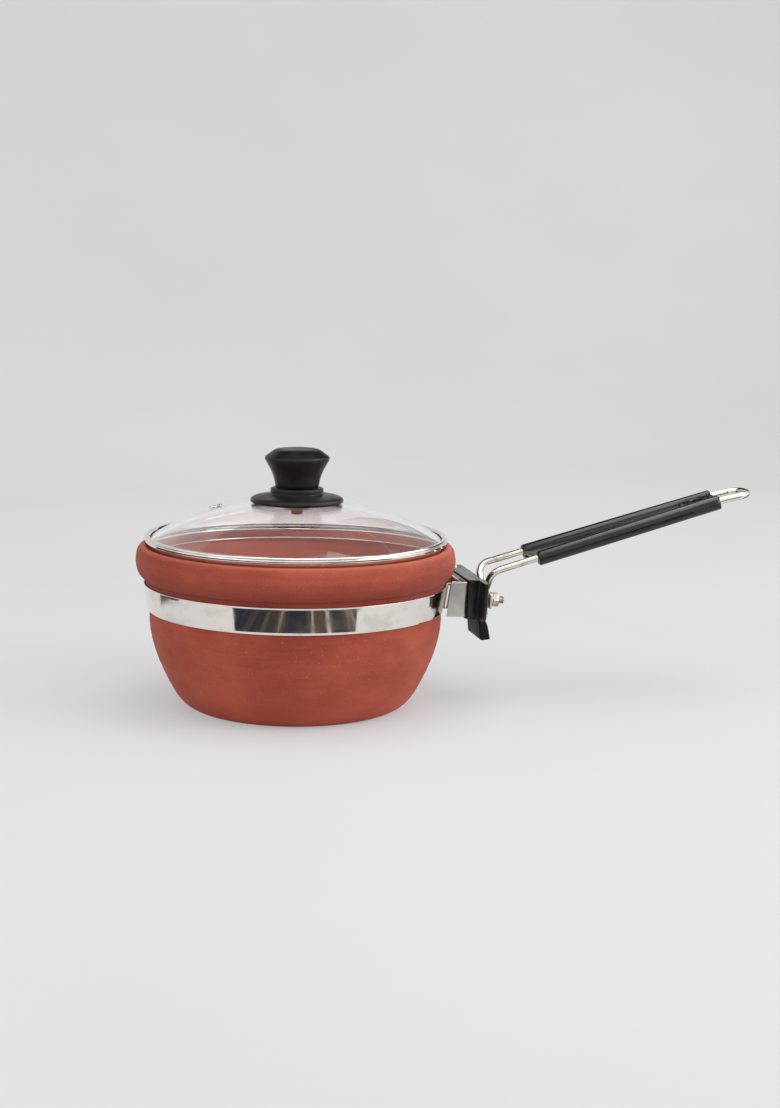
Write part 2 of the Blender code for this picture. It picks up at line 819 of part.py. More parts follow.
def make_knob():
    """A waisted grip that flares to a wide edge, with a pocket for the insert."""
    low = glass_top + collar_top + gap
    top = low + knob_height
    widest = top - knob_chamfer
    flare = bezier(
        (waist_radius, low + 1.8 * mm),
        (waist_radius + 0.2 * mm, low + 8 * mm),
        (waist_radius + 3 * mm, widest - 5.5 * mm),
        (knob_radius, widest),
        8,
    )
    pocket = low + gap + insert_length + gap
    profile = [
        (0.0, top),
        (knob_flat_radius, top),
        (knob_flat_radius + 2.4 * mm, top - knob_chamfer * 0.2),
        (knob_radius - 0.8 * mm, widest + knob_chamfer * 0.14),
        *flare[::-1],
        (waist_radius - 0.6 * mm, low),
        (insert_radius + gap, low),
        (insert_radius + gap, pocket),
        (0.0, pocket),
    ]
    turned("knob", profile, knob_steps, bakelite)
    insert_low = low + gap
    insert = [
        (screw_radius + gap, insert_low + insert_length),
        (insert_radius, insert_low + insert_length),
        (insert_radius, insert_low + 4.2 * mm),
        (insert_radius - 0.5 * mm, insert_low + 3.8 * mm),
        (insert_radius - 0.5 * mm, insert_low + 3.0 * mm),
        (insert_radius, insert_low + 2.6 * mm),
        (insert_radius, insert_low),
        (screw_radius + gap, insert_low),
    ]
    turned("knob_insert", insert, small_steps, brass, closed=True)


def make_lid_fasteners():
    gasket_low = glass_top + gap
    gasket = [(glass_hole_radius, gasket_low + gasket_thickness), (gasket_radius, gasket_low + gasket_thickness),
              (gasket_radius, gasket_low), (glass_hole_radius, gasket_low)]
    turned("knob_gasket", gasket, washer_steps, rubber, closed=True)

    soft_top = dome(under_gasket_radius) - glass_thickness - gap
    soft_low = soft_top - gasket_thickness
    soft = [(screw_radius + gap, soft_top), (under_gasket_radius, soft_top),
            (under_gasket_radius, soft_low), (screw_radius + gap, soft_low)]
    turned("under_gasket", soft, washer_steps, rubber, closed=True)

    washer_top = soft_low - gap
    washer_low = washer_top - under_washer_thickness
    washer = [(screw_radius + gap, washer_top), (under_washer_radius, washer_top),
              (under_washer_radius, washer_low), (screw_radius + gap, washer_low)]
    turned("screw_washer", washer, washer_steps, satin_steel, closed=True)

    head_top = washer_low - gap
    tip = glass_top + collar_top + gap + gap + insert_length - 1 * mm
    head = arc((0.0, head_top), (screw_head_radius, screw_head_height), 0, -90, 4, power=3.0)
    screw = [(0.0, tip), (screw_radius - 0.5 * mm, tip), (screw_radius, tip - 0.5 * mm), (screw_radius, head_top)]
    turned("knob_screw", screw + head[:-1] + [(0.0, head_top - screw_head_height)], small_steps, satin_steel)


clear_scene()
parts = new_collection("clay_frying_pan")
cutters = new_collection("cutters")

clay = material("clay", (0.36, 0.085, 0.05), 0.7)
polished_steel = material("polished_steel", (0.72, 0.71, 0.69), 0.12, 1.0)
satin_steel = material("satin_steel", (0.62, 0.61, 0.58), 0.35, 1.0)
nickel = material("nickel", (0.75, 0.71, 0.62), 0.18, 1.0)
bakelite = material("bakelite", (0.012, 0.011, 0.012), 0.3)
glass = material("glass", (0.96, 0.98, 0.97), 0.02, 0.0, 1.0)
brass = material("brass", (0.70, 0.50, 0.22), 0.3, 1.0)
rubber = material("rubber", (0.03, 0.03, 0.03), 0.6)

clamp = add_frame("clamp_frame", (clamp_x, 0.0, clamp_height), clamp_lean)
grip_frame = add_frame("grip_frame", shoulder_point(0.0) + sloping(handle_slope) * grip_start, -handle_slope)

make_bowl()
make_band()
make_bracket()
make_guard()
make_clamp_fasteners()
make_wire()
make_grip()
make_glass()
make_ring()
make_vent()
make_knob_base()
make_knob()
make_lid_fasteners()
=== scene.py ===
import math

import bpy
import numpy as np
from mathutils import Matrix


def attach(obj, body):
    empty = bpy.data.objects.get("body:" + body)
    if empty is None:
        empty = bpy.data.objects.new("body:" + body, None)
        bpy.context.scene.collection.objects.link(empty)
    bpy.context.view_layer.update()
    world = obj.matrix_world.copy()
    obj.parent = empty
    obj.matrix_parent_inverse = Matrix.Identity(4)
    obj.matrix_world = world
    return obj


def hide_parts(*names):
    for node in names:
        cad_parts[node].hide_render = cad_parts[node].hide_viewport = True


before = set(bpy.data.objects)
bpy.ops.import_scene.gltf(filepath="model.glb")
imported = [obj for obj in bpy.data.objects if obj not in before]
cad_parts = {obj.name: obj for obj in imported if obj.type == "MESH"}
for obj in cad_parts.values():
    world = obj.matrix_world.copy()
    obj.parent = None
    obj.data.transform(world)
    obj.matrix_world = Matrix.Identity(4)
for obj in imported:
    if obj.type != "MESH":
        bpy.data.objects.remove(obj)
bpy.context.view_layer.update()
print("clay pan: frame loaded")

mm = 0.001
gap = 0.3  # mm between touching pieces, as in the solids


# Cubic pull curve: start*(1-t)^3 + 3*pullA*(1-t)^2*t + 3*pullB*(1-t)*t^2 + end*t^3
def pulledCurve(start, pullA, pullB, end, count=16):
    t = np.linspace(0, 1, count + 1)[:, None]
    a, b, c, d = (np.array(p, float) for p in (start, pullA, pullB, end))
    return a * (1 - t) ** 3 + 3 * b * (1 - t) ** 2 * t + 3 * c * (1 - t) * t ** 2 + d * t ** 3


# Ellipse arc: centre + radii * (cos angle, sin angle), each raised to 2/power with its sign kept
def arcLine(centre, radii, start, end, count=12, power=2.0):
    angle = np.radians(np.linspace(start, end, count + 1))
    cos, sin = np.cos(angle), np.sin(angle)
    x = centre[0] + radii[0] * np.sign(cos) * np.abs(cos) ** (2 / power)
    y = centre[1] + radii[1] * np.sign(sin) * np.abs(sin) ** (2 / power)
    return np.stack([x, y], axis=1)


# Each vector divided by its length
def unit(vectors):
    return vectors / np.maximum(np.linalg.norm(vectors, axis=-1, keepdims=True), 1e-12)


# Line through corners, each rounded by an arc of radius r whose centre lies r/cos(turn/2) along the bisector
def bentLine(corners, bends, count=8):
    corners = np.array(corners, float)
    parts = [corners[:1]]
    for k in range(1, len(corners) - 1):
        back, ahead = unit(corners[k - 1] - corners[k]), unit(corners[k + 1] - corners[k])
        turn = math.pi - math.acos(np.clip(back @ ahead, -1, 1))
        bend = bends[k - 1]
        if turn < 0.01 or bend <= 0:
            parts.append(corners[k:k + 1])
            continue
        centre = corners[k] + unit(back + ahead) * bend / math.cos(turn / 2)
        run = bend * math.tan(turn / 2)
        first, last = ((corners[k] + leg * run - centre) / bend for leg in (back, ahead))
        t = np.linspace(0, 1, count + 1)[:, None]
        parts.append(centre + bend * (first * np.sin((1 - t) * turn) + last * np.sin(t * turn)) / math.sin(turn))
    parts.append(corners[-1:])
    return np.concatenate(parts)


# Same line with extra points, so that no stretch is longer than spacing
def evenLine(points, spacing):
    length = np.concatenate([[0], np.cumsum(np.linalg.norm(np.diff(points, axis=0), axis=1))])
    places = np.union1d(length, np.arange(0, length[-1], spacing))
    places = places[np.concatenate([[True], np.diff(places) > spacing * 0.08])]
    places[-1] = length[-1]
    return np.stack([np.interp(places, length, points[:, k]) for k in range(points.shape[1])], axis=1)


# Unit direction at each point: the difference of its neighbours, made length one
def alongLine(points, closed=False):
    if closed:
        return unit(np.roll(points, -1, axis=-2) - np.roll(points, 1, axis=-2))
    return unit(np.gradient(points, axis=-2))


# Left-hand normal of a direction: (-y, x)
def leftOf(along):
    return np.stack([-along[..., 1], along[..., 0]], axis=-1)


# Line moved sideways by a distance: point + distance * left-hand normal
def besideLine(points, distance):
    return points + leftOf(alongLine(points)) * np.asarray(distance, float).reshape(-1, 1)


# Closed ring of corners, each rounded as in bentLine, with extra points on its straight runs
def roundedRing(corners, radii, count=5, between=3):
    corners = np.asarray(corners, float)
    back = np.roll(corners, 1, axis=-2) - corners
    ahead = np.roll(corners, -1, axis=-2) - corners
    reach = np.minimum(np.linalg.norm(back, axis=-1), np.linalg.norm(ahead, axis=-1)) * 0.46
    back, ahead = unit(back), unit(ahead)
    turn = np.pi - np.arccos(np.clip((back * ahead).sum(-1), -0.99999, 0.99999))
    run = np.minimum(np.asarray(radii, float) * np.tan(turn / 2), reach)
    radius = run / np.tan(turn / 2)
    centre = corners + unit(back + ahead) * (radius / np.cos(turn / 2))[..., None]
    first = (corners + back * run[..., None] - centre)[..., None, :]
    last = (corners + ahead * run[..., None] - centre)[..., None, :]
    t = np.linspace(0, 1, count + 1)[:, None]
    bow = turn[..., None, None]
    arcs = centre[..., None, :] + (first * np.sin((1 - t) * bow) + last * np.sin(t * bow)) / np.sin(bow)
    start, end = arcs[..., -1, :], np.roll(arcs[..., 0, :], -1, axis=-2)
    s = np.linspace(0, 1, between + 2)[1:-1][:, None]
    runs = start[..., None, :] * (1 - s) + end[..., None, :] * s
    ring = np.concatenate([arcs, runs], axis=-2)
    return ring.reshape(*ring.shape[:-3], -1, 2)


# Turned grid: (radius(u) cos v, radius(u) sin v, height(u))
def turnedGrid(profile, steps):
    v = np.linspace(0, 2 * np.pi, steps, endpoint=False)
    radius, height = profile[:, 0][:, None], profile[:, 1][:, None]
    return np.stack([radius * np.cos(v), radius * np.sin(v), height + 0 * v], axis=-1)


# Tube grid: path(u) + radius(u) * (side(u) cos v + up(u) sin v), both ends closed by a rounded edge
def tubeGrid(path, radius, steps, lean, edge):
    count = 6  # rings in each rounded end
    along = alongLine(path)
    a = np.linspace(0, np.pi / 2, count)[:, None]
    rise, shrink = edge * np.sin(a), 1 - edge / radius * (1 - np.cos(a))
    head = path[0] - along[0] * rise[::-1]
    tail = path[-1] + along[-1] * rise
    path = np.concatenate([head[:1], head, path[1:-1], tail, tail[-1:]])
    along = np.concatenate([along[:1].repeat(count + 1, 0), along[1:-1], along[-1:].repeat(count + 1, 0)])
    size = np.concatenate([[[0]], shrink[::-1], np.ones((len(path) - 2 * count - 2, 1)), shrink, [[0]]]) * radius
    side = unit(np.cross(along, lean))
    up = np.cross(side, along)
    v = np.linspace(0, 2 * np.pi, steps, endpoint=False)[:, None]
    return path[:, None] + size[:, None] * (side[:, None] * np.cos(v) + up[:, None] * np.sin(v))


# Plate grid: anticlockwise outline carried from low to high, drawn in by edge * (1 - sin a) at both faces
def plateGrid(outline, low, high, edge):
    a = np.linspace(0, np.pi / 2, 6)
    inset, rise = edge * (1 - np.sin(a)), edge * (1 - np.cos(a))
    inset = np.concatenate([inset, inset[::-1]])
    level = np.concatenate([low + rise, high - rise[::-1]])
    flat = outline + leftOf(alongLine(outline, closed=True)) * inset[:, None, None]
    return np.concatenate([flat, np.broadcast_to(level[:, None, None], (*flat.shape[:2], 1))], axis=-1)


def placed(name, data):
    made = bpy.data.objects.new(name, data)
    bpy.context.scene.collection.objects.link(made)
    return made


# Faces of a grid: (r,c) (r,c+1) (r+1,c+1) (r+1,c); the columns close to rings, and so do the rows with ringRows.
# Else a shrunk first or last row becomes one point and an open one gets a lid. A negative volume turns all faces.
def meshPiece(name, grid, finish, body, node, ringRows=False, sharp=None):
    rows, columns = grid.shape[:2]
    points = grid.reshape(-1, 3) * mm
    index = np.arange(rows * columns).reshape(rows, columns)
    lids = []
    if ringRows:
        index = np.concatenate([index, index[:1]])
    else:
        for r in (0, rows - 1):
            if np.ptp(grid[r], axis=0).max() < 1e-4:
                index[r] = index[r, 0]
            else:
                lids.append(index[r:] if r else index[:1, ::-1])
    ahead = np.roll(index, -1, axis=1)
    quads = np.stack([index[:-1], ahead[:-1], ahead[1:], index[1:]], axis=-1).reshape(-1, 4)
    top, bottom = quads[:, 0] == quads[:, 1], quads[:, 2] == quads[:, 3]
    corners = np.concatenate([quads[top][:, [0, 2, 3]], quads[bottom & ~top][:, :3]])
    fans = [quads[~top & ~bottom], corners, *lids]
    volume = sum((np.cross(points[f[:, :1]], points[f[:, 1:-1]]) * points[f[:, 2:]]).sum() for f in fans)
    used, place = np.unique(np.concatenate([f.ravel() for f in fans])), np.zeros(len(points), int)
    place[used] = np.arange(len(used))
    faces = [face for f in fans for face in place[f if volume > 0 else f[:, ::-1]].tolist()]
    data = bpy.data.meshes.new(name)
    data.from_pydata(points[used].tolist(), [], faces)
    data.shade_smooth()
    if sharp:
        data.set_sharp_from_angle(angle=math.radians(sharp))
    data.materials.append(finish[0])
    made = placed(name, data)
    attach(made, body)
    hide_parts(node)


# Values into a node's sockets, with underscores for the spaces in their names
def setSockets(node, **sockets):
    for socket, value in sockets.items():
        node.inputs[socket.replace("_", " ")].default_value = value


def newNode(tree, kind, **sockets):
    node = tree.nodes.new("ShaderNode" + kind)
    setSockets(node, **sockets)
    return node


def join(output, socket):
    output.id_data.links.new(output, socket)


# Object position, stretched per axis, fed to fractal noise
def noiseField(tree, scale, stretch=(1, 1, 1), detail=4.0, rough=0.55, turn=(0, 0, 0)):
    place, shape = newNode(tree, "TexCoord"), newNode(tree, "Mapping", Scale=stretch, Rotation=turn)
    field = newNode(tree, "TexNoise", Scale=scale, Detail=detail, Roughness=rough)
    join(place.outputs["Object"], shape.inputs["Vector"])
    join(shape.outputs["Vector"], field.inputs["Vector"])
    return field.outputs["Fac"]


# low + (high - low) * clamp((field - fromLow) / (fromHigh - fromLow))
def levels(field, low, high, fromLow=0.35, fromHigh=0.65):
    node = newNode(field.id_data, "MapRange", From_Min=fromLow, From_Max=fromHigh, To_Min=low, To_Max=high)
    join(field, node.inputs["Value"])
    return node.outputs["Result"]


# One value from a field and from a second field or a number
def combined(operation, first, second):
    node = newNode(first.id_data, "Math")
    node.operation = operation
    join(first, node.inputs[0])
    if isinstance(second, float):
        node.inputs[1].default_value = second
    else:
        join(second, node.inputs[1])
    return node.outputs["Value"]


# first * (1 - share) + second * share, each a colour or another mix; a span turns the share into levels of it
def mixedColour(share, first, second, *span):
    node = newNode(share.id_data, "Mix")
    node.data_type = "RGBA"
    join(levels(share, *span) if span else share, node.inputs["Factor"])
    for socket, value in ((node.inputs["A"], first), (node.inputs["B"], second)):
        if isinstance(value, tuple):
            socket.default_value = (*value, 1.0)
        else:
            join(value, socket)
    return node.outputs["Result"]


# Bump of a field, its full height in mm, laid over another normal if one is given
def raised(field, distance, strength=1.0, under=None):
    node = newNode(field.id_data, "Bump", Strength=strength, Distance=distance * mm)
    join(field, node.inputs["Height"])
    if under is not None:
        join(under, node.inputs["Normal"])
    return node.outputs["Normal"]


def newFinish(name, **sockets):
    finish = bpy.data.materials.new(name)
    finish.use_nodes = True
    shader = finish.node_tree.nodes["Principled BSDF"]
    setSockets(shader, **sockets)
    return finish, finish.node_tree, shader


# Colour, roughness and normal into a shader
def dress(shader, colour, rough, normal):
    for socket, field in (("Base Color", colour), ("Roughness", rough), ("Normal", normal)):
        join(field, shader.inputs[socket])


# first * (1 - share) + second * share of two shaders, into the node named last
def chosenShader(share, first, second, last="Material Output"):
    choice = newNode(share.id_data, "MixShader")
    for socket, value in zip(choice.inputs, (share, first, second)):
        join(value, socket)
    join(choice.outputs["Shader"], share.id_data.nodes[last].inputs["Surface"])


# Height above the table, and distance from the bowl's axis: length of (x, y, z) * (1, 1, 0)
def heightAndRadius(tree):
    place, split = newNode(tree, "TexCoord").outputs["Object"], newNode(tree, "SeparateXYZ")
    flat, size = newNode(tree, "VectorMath"), newNode(tree, "VectorMath")
    flat.operation, size.operation = "MULTIPLY", "LENGTH"
    flat.inputs[1].default_value = (1, 1, 0)
    join(place, split.inputs["Vector"])
    join(place, flat.inputs[0])
    join(flat.outputs["Vector"], size.inputs[0])
    return split.outputs["Z"], size.outputs["Value"]


clayLook = {
    "fresh": (0.46, 0.088, 0.05), "deep": (0.33, 0.055, 0.034),  # orange of the fired clay and its darker patches
    "dust": (0.52, 0.15, 0.085),  # pale dust in the throwing lines
    "under": (0.23, 0.035, 0.022),  # painted shade: maroon under the rim
    "foot": (0.50, 0.10, 0.06), "inside": (0.64, 0.17, 0.11),  # painted light: paler towards the foot and inside the bowl
    "speck": (0.62, 0.33, 0.20), "pit": (0.16, 0.03, 0.02),  # light and dark grains
    "patchSize": 26.0, "lineSize": 420.0,  # patches per metre, throwing lines per metre of height
    "grain": 0.05, "lines": 0.04,  # mm of relief
    "underShadeFrom": (0.074, 0.077), "underShadeTo": (0.080, 0.090),  # m of height where the painted shade under the rim sets in and where it ends
    "footLightTo": (0.0, 0.03), "floorAt": (0.018, 0.024),  # m of height: where the painted light at the foot ends, and where the one inside starts
    "wallLean": 0.27, "wallAt": (-0.068, -0.066),  # painted light inside where lean * height - radius is above this
}


def clayFinish(look):
    finish, tree, shader = newFinish("clay", Specular_IOR_Level=0.3, Sheen_Weight=0.12, Sheen_Roughness=0.5,
                                     Sheen_Tint=(1.0, 0.55, 0.4, 1.0))  # the sheen makes dusty edges
    patch = noiseField(tree, look["patchSize"], (1, 1, 1.7), 5.0, 0.6)
    lines = noiseField(tree, look["lineSize"], (0.03, 0.03, 1), 3.0, 0.6)
    grain = noiseField(tree, 2600.0, detail=3.0, rough=0.65)
    speck = noiseField(tree, 1150.0, detail=1.0, rough=0.4)
    pit = noiseField(tree, 900.0, (1, 1, 1.3), 1.0, 0.4, (0.4, 0.9, 0.2))
    height, radius = heightAndRadius(tree)
    colour = mixedColour(patch, look["deep"], look["fresh"], 0, 1, 0.36, 0.66)
    colour = mixedColour(lines, colour, look["dust"], 0, 0.16, 0.5, 0.75)
    colour = mixedColour(speck, colour, look["speck"], 0, 0.6, 0.72, 0.77)
    colour = mixedColour(pit, colour, look["pit"], 0, 0.6, 0.72, 0.78)
    # painted shade: the clay turns maroon in a band of height under the rim
    under = combined("MULTIPLY", levels(height, 0, 0.75, *look["underShadeFrom"]), levels(height, 1, 0, *look["underShadeTo"]))
    colour = mixedColour(under, colour, look["under"])
    # painted light: paler clay towards the foot, against the shade near the floor
    colour = mixedColour(height, colour, look["foot"], 0.6, 0.0, *look["footLightTo"])
    # painted light: paler clay inside the bowl, where the lid's glass keeps light out
    depth = combined("SUBTRACT", combined("MULTIPLY", height, look["wallLean"]), radius)
    inside = combined("MULTIPLY", levels(depth, 0, 0.5, *look["wallAt"]), levels(height, 0, 1, *look["floorAt"]))
    colour = mixedColour(inside, colour, look["inside"])
    normal = raised(grain, look["grain"], under=raised(lines, look["lines"]))
    dress(shader, colour, levels(patch, 0.88, 0.74), normal)
    return finish


polishLook = {
    "clean": (0.86, 0.82, 0.77), "smudged": (0.70, 0.66, 0.61), "rough": (0.05, 0.16),
    "wave": 0.10,  # mm of slow waviness that bends the reflections
    "scratch": 0.004,  # mm
}


def polishedFinish(look):
    finish, tree, shader = newFinish("polishedSteel", Metallic=1.0)
    smudge = noiseField(tree, 55.0, (1, 1, 1.6), 5.0, 0.6)
    wave = noiseField(tree, 38.0, (1, 1, 0.4), 1.0, 0.4)
    scratch = noiseField(tree, 900.0, (0.05, 0.05, 1), 2.0, 0.6)
    dress(shader, mixedColour(smudge, look["clean"], look["smudged"], 0, 1, 0.5, 0.7),
          levels(smudge, *look["rough"], 0.42, 0.7),
          raised(scratch, look["scratch"], 0.6, raised(wave, look["wave"], 0.5)))
    return finish


brushedLook = {
    "bright": (0.74, 0.72, 0.68), "dull": (0.52, 0.50, 0.46),
    "grain": (1, 1, 0.03),  # brushing runs up and down the bracket
}


def brushedFinish(name, look):
    finish, tree, shader = newFinish(name, Metallic=1.0)
    brush = noiseField(tree, 1500.0, look["grain"], 3.0, 0.6)
    patch = noiseField(tree, 70.0)
    colour = mixedColour(patch, look["dull"], look["bright"], 0, 1)
    colour = mixedColour(brush, colour, look["dull"], 0, 0.35, 0.4, 0.7)
    dress(shader, colour, levels(brush, 0.26, 0.42), raised(brush, 0.012))
    return finish


brassLook = {
    "main": (0.72, 0.50, 0.22), "worn": (0.55, 0.36, 0.15), "colours": (0, 1), "rough": (0.24, 0.36),
    "patch": (300.0,), "grain": (3600.0,), "relief": 0.01,  # noise sizes per metre, relief in mm
    "metal": 1.0, "shine": 0.5,
}
rubberLook = {
    **brassLook, "main": (0.03, 0.03, 0.03), "worn": (0.05, 0.048, 0.046), "rough": (0.48, 0.72),
    "patch": (500.0,), "grain": (6000.0,), "metal": 0.0,
}
wireLook = {
    "main": (0.82, 0.77, 0.66), "worn": (0.42, 0.34, 0.26), "colours": (0, 0.7, 0.48, 0.68),
    "rough": (0.13, 0.30, 0.4, 0.7), "patch": (120.0, (1, 1, 1), 5.0, 0.65), "grain": (1800.0, (0.08, 1, 1), 2.0),
    "relief": 0.006, "metal": 1.0, "shine": 0.5,
}
mouldedLook = {
    "main": (0.010, 0.010, 0.011), "worn": (0.022, 0.021, 0.023), "colours": (0, 1, 0.42, 0.7),
    "rough": (0.32, 0.46, 0.4, 0.62), "patch": (60.0, (1, 1, 1), 5.0, 0.6), "grain": (2400.0, (1, 1, 1), 2.0),
    "relief": 0.012, "metal": 0.0, "shine": 0.3,
}
guardLook = {**mouldedLook, "main": (0.012, 0.012, 0.014), "rough": (0.14, 0.3, 0.4, 0.62), "shine": 0.5}
tongueLook = {**mouldedLook, "main": (0.014, 0.013, 0.014), "rough": (0.42, 0.55, 0.4, 0.62), "shine": 0.1}
gripLook = {**mouldedLook, "main": (0.006, 0.005, 0.006), "worn": (0.014, 0.012, 0.015),
            "rough": (0.15, 0.25, 0.4, 0.62), "shine": 0.5}


# Two colours in patches, which also set the roughness, and a finer grain as relief
def patchedFinish(name, look):
    finish, tree, shader = newFinish(name, Metallic=look["metal"], Specular_IOR_Level=look["shine"])
    patch = noiseField(tree, *look["patch"])
    dress(shader, mixedColour(patch, look["main"], look["worn"], *look["colours"]), levels(patch, *look["rough"]),
          raised(noiseField(tree, *look["grain"]), look["relief"]))
    return finish


glassLook = {"tint": (1.0, 0.99, 0.99, 1.0), "ior": 1.38, "film": 0.035, "wave": 0.05, "shade": (0.98, 0.98, 0.98, 1.0)}


# Clear glass that lets plain light through in place of a shadow
def glassFinish(look):
    finish, tree, shader = newFinish("lidGlass", Transmission_Weight=1.0, IOR=look["ior"], Base_Color=look["tint"])
    film, wave = noiseField(tree, 40.0, detail=5.0), noiseField(tree, 14.0, detail=1.0)
    join(levels(film, 0.0, look["film"], 0.5, 0.75), shader.inputs["Roughness"])
    join(raised(wave, look["wave"], 0.4), shader.inputs["Normal"])
    clear, path = newNode(tree, "BsdfTransparent", Color=look["shade"]), newNode(tree, "LightPath")
    chosenShader(path.outputs["Is Shadow Ray"], shader.outputs["BSDF"], clear.outputs["BSDF"])
    return finish


# Each finish with the slot that it fills
clay = clayFinish(clayLook), "clay"
polished = polishedFinish(polishLook), "polished_steel"
brushed = brushedFinish("brushedSteel", brushedLook), "satin_steel"
fastenerLook = {**brushedLook, "bright": (0.78, 0.72, 0.62), "grain": (1, 1, 1)}
fastener = brushedFinish("fastenerSteel", fastenerLook), "satin_steel"
nickel = patchedFinish("nickelWire", wireLook), "nickel"
moulded = patchedFinish("mouldedBlack", mouldedLook), "bakelite"
guardBlack = patchedFinish("guardBlack", guardLook), "bakelite"
tongueBlack = patchedFinish("tongueBlack", tongueLook), "bakelite"
gripBlack = patchedFinish("gripBlack", gripLook), "bakelite"
glass = glassFinish(glassLook), "glass"
brass = patchedFinish("brassInsert", brassLook), "brass"
rubber = patchedFinish("softRubber", rubberLook), "rubber"
print("clay pan: finishes made")


bowl = {
    "foot": 59.0, "footRound": 8.0, "belly": 75.2, "bellyHeight": 13.4, "lean": 0.53,
    "wall": 8.0, "floor": 9.0, "neckLow": 87.5, "neckTop": 89.9, "bandLow": 59.0, "bandTop": 74.7,
    "rimRadius": 95.6, "rimTop": 97.2, "rimMiddle": 88.4, "rimLow": 78.0, "crestRound": 1.5,
    "seat": 94.8, "seatOuter": 89.3, "seatInner": 86.4, "seatCorner": 1.2,
    "steps": 232, "spacing": 1.5,
    "wobble": 0.45,  # mm that the hand-thrown rim and belly fall inside the true circle
    "rings": 0.10,  # mm of depth of the throwing rings
}


# Outside and inside line of the wall turned about Z, then drawn in by wobble * (2 + sin(2v + z) + 0.6 sin(3v)) / 3.6
# and by rings * (1 + sin(z + sin v)) / 2, both fading out at the foot and at the lid's seat
def claySurface(b):
    belly, level, band, lean = b["belly"], b["bellyHeight"], b["bandLow"], b["lean"]
    pull, climb = level * 0.45, (band - level) * 0.33
    foot = pulledCurve((b["foot"], 0), (b["foot"] + b["footRound"], 0), (belly - lean * pull, level - pull),
                       (belly, level))
    side = pulledCurve((belly, level), (belly + lean * climb, level + climb), (b["neckLow"] + 1.6, band - climb),
                       (b["neckLow"], band), 24)
    outside = np.concatenate([foot, side[1:]])
    share = np.minimum(np.arange(len(outside)) / (len(foot) - 1), 1)
    inside = besideLine(outside, b["floor"] + (b["wall"] - b["floor"]) * share)
    inside[0] = (b["foot"], b["floor"])
    mouth, corner, ledge = b["seatInner"], b["seatCorner"], b["seat"] - b["seatCorner"]
    rise = (ledge - band) * 0.4
    upper = pulledCurve(inside[-1], (inside[-1][0], band + rise), (mouth, ledge - rise), (mouth, ledge))
    turn = arcLine((mouth + corner, ledge), (corner, corner), 180, 90, 6)
    easing, middle, widest = b["crestRound"], b["rimMiddle"], b["rimRadius"]
    centre, edge = b["seatOuter"] + easing, b["neckTop"] + 0.3
    crest = arcLine((centre, b["rimTop"] - easing), (easing, easing), 180, 90, 8)
    shoulder = arcLine((centre, middle), (widest - centre, b["rimTop"] - middle), 90, 0, 20)
    under = arcLine((edge, middle), (widest - edge, middle - b["rimLow"]), 0, -90, 20)
    neck = [(b["neckTop"], b["rimLow"] - 1), (b["neckTop"], b["bandTop"])]
    line = np.concatenate([[(0, b["floor"])], inside, upper[1:], turn[1:], [(b["seatOuter"], b["seat"])],
                           crest, shoulder[1:], under[1:], neck, outside[::-1], [(0, 0)]])
    grid = turnedGrid(evenLine(line, b["spacing"]), b["steps"])
    z = grid[..., 2]
    radius, angle = np.hypot(grid[..., 0], grid[..., 1]), np.arctan2(grid[..., 1], grid[..., 0])
    outer = np.clip((radius - 56) / 12, 0, 1) * np.clip(z / 12, 0, 1)
    seat = np.clip(np.abs(z - b["seat"]) / 4, 0, 1)
    draw = b["wobble"] * outer * seat * (2 + np.sin(2 * angle + z * 0.045) + 0.6 * np.sin(3 * angle + 1.3)) / 3.6
    draw += b["rings"] * outer * seat * (1 + np.sin(z * 1.05 + 0.8 * np.sin(angle))) / 2
    grid[..., :2] *= (1 - draw / np.maximum(radius, 1))[..., None]
    return grid


meshPiece("clayBowl", claySurface(bowl), clay, "pan", "clay_bowl", sharp=50)
print("clay pan: bowl made")


clamp = {
    "x": 100.8, "z": 61.3, "lean": math.radians(3),
    "bandRadius": 88.6, "flare": 2.4, "bandHeight": 15.7, "bandThick": 0.8, "bandBend": 1.6, "tab": 7.0,
    "bracketHalf": 22.0, "bracketThick": 1.5, "bracketBend": 1.1, "up": 14.0, "down": 7.4, "reach": 12.2,
    "guardUp": 15.4, "guardDown": 8.4, "guardDepth": 8.9, "plate": 2.0, "guardHalf": 35.0, "wingRound": 4.0,
    "round": 0.8, "bossHalf": 15.0, "bossUp": 8.0, "bossHeight": 4.2, "lip": 4.9, "tongueDown": 23.2,
    "bandEdge": 0.3, "bracketEdge": 0.5, "tongueEdge": 0.9,
}


# Clamp frame to pan frame: turned about Y by the lean, then moved to the clamp's place
def clampPlace(depth, side, height):
    c, s = math.cos(clamp["lean"]), math.sin(clamp["lean"])
    return np.stack(np.broadcast_arrays(clamp["x"] + depth * c + height * s, side,
                                        clamp["z"] - depth * s + height * c), axis=-1)


# Section of a strip: a thin rounded rectangle as (offset across, height)
def stripSection(thick, height, edge):
    corner = [(-thick / 2, 0), (thick / 2, 0), (thick / 2, height), (-thick / 2, height)]
    return roundedRing(corner, [edge] * 4, 4, 9)


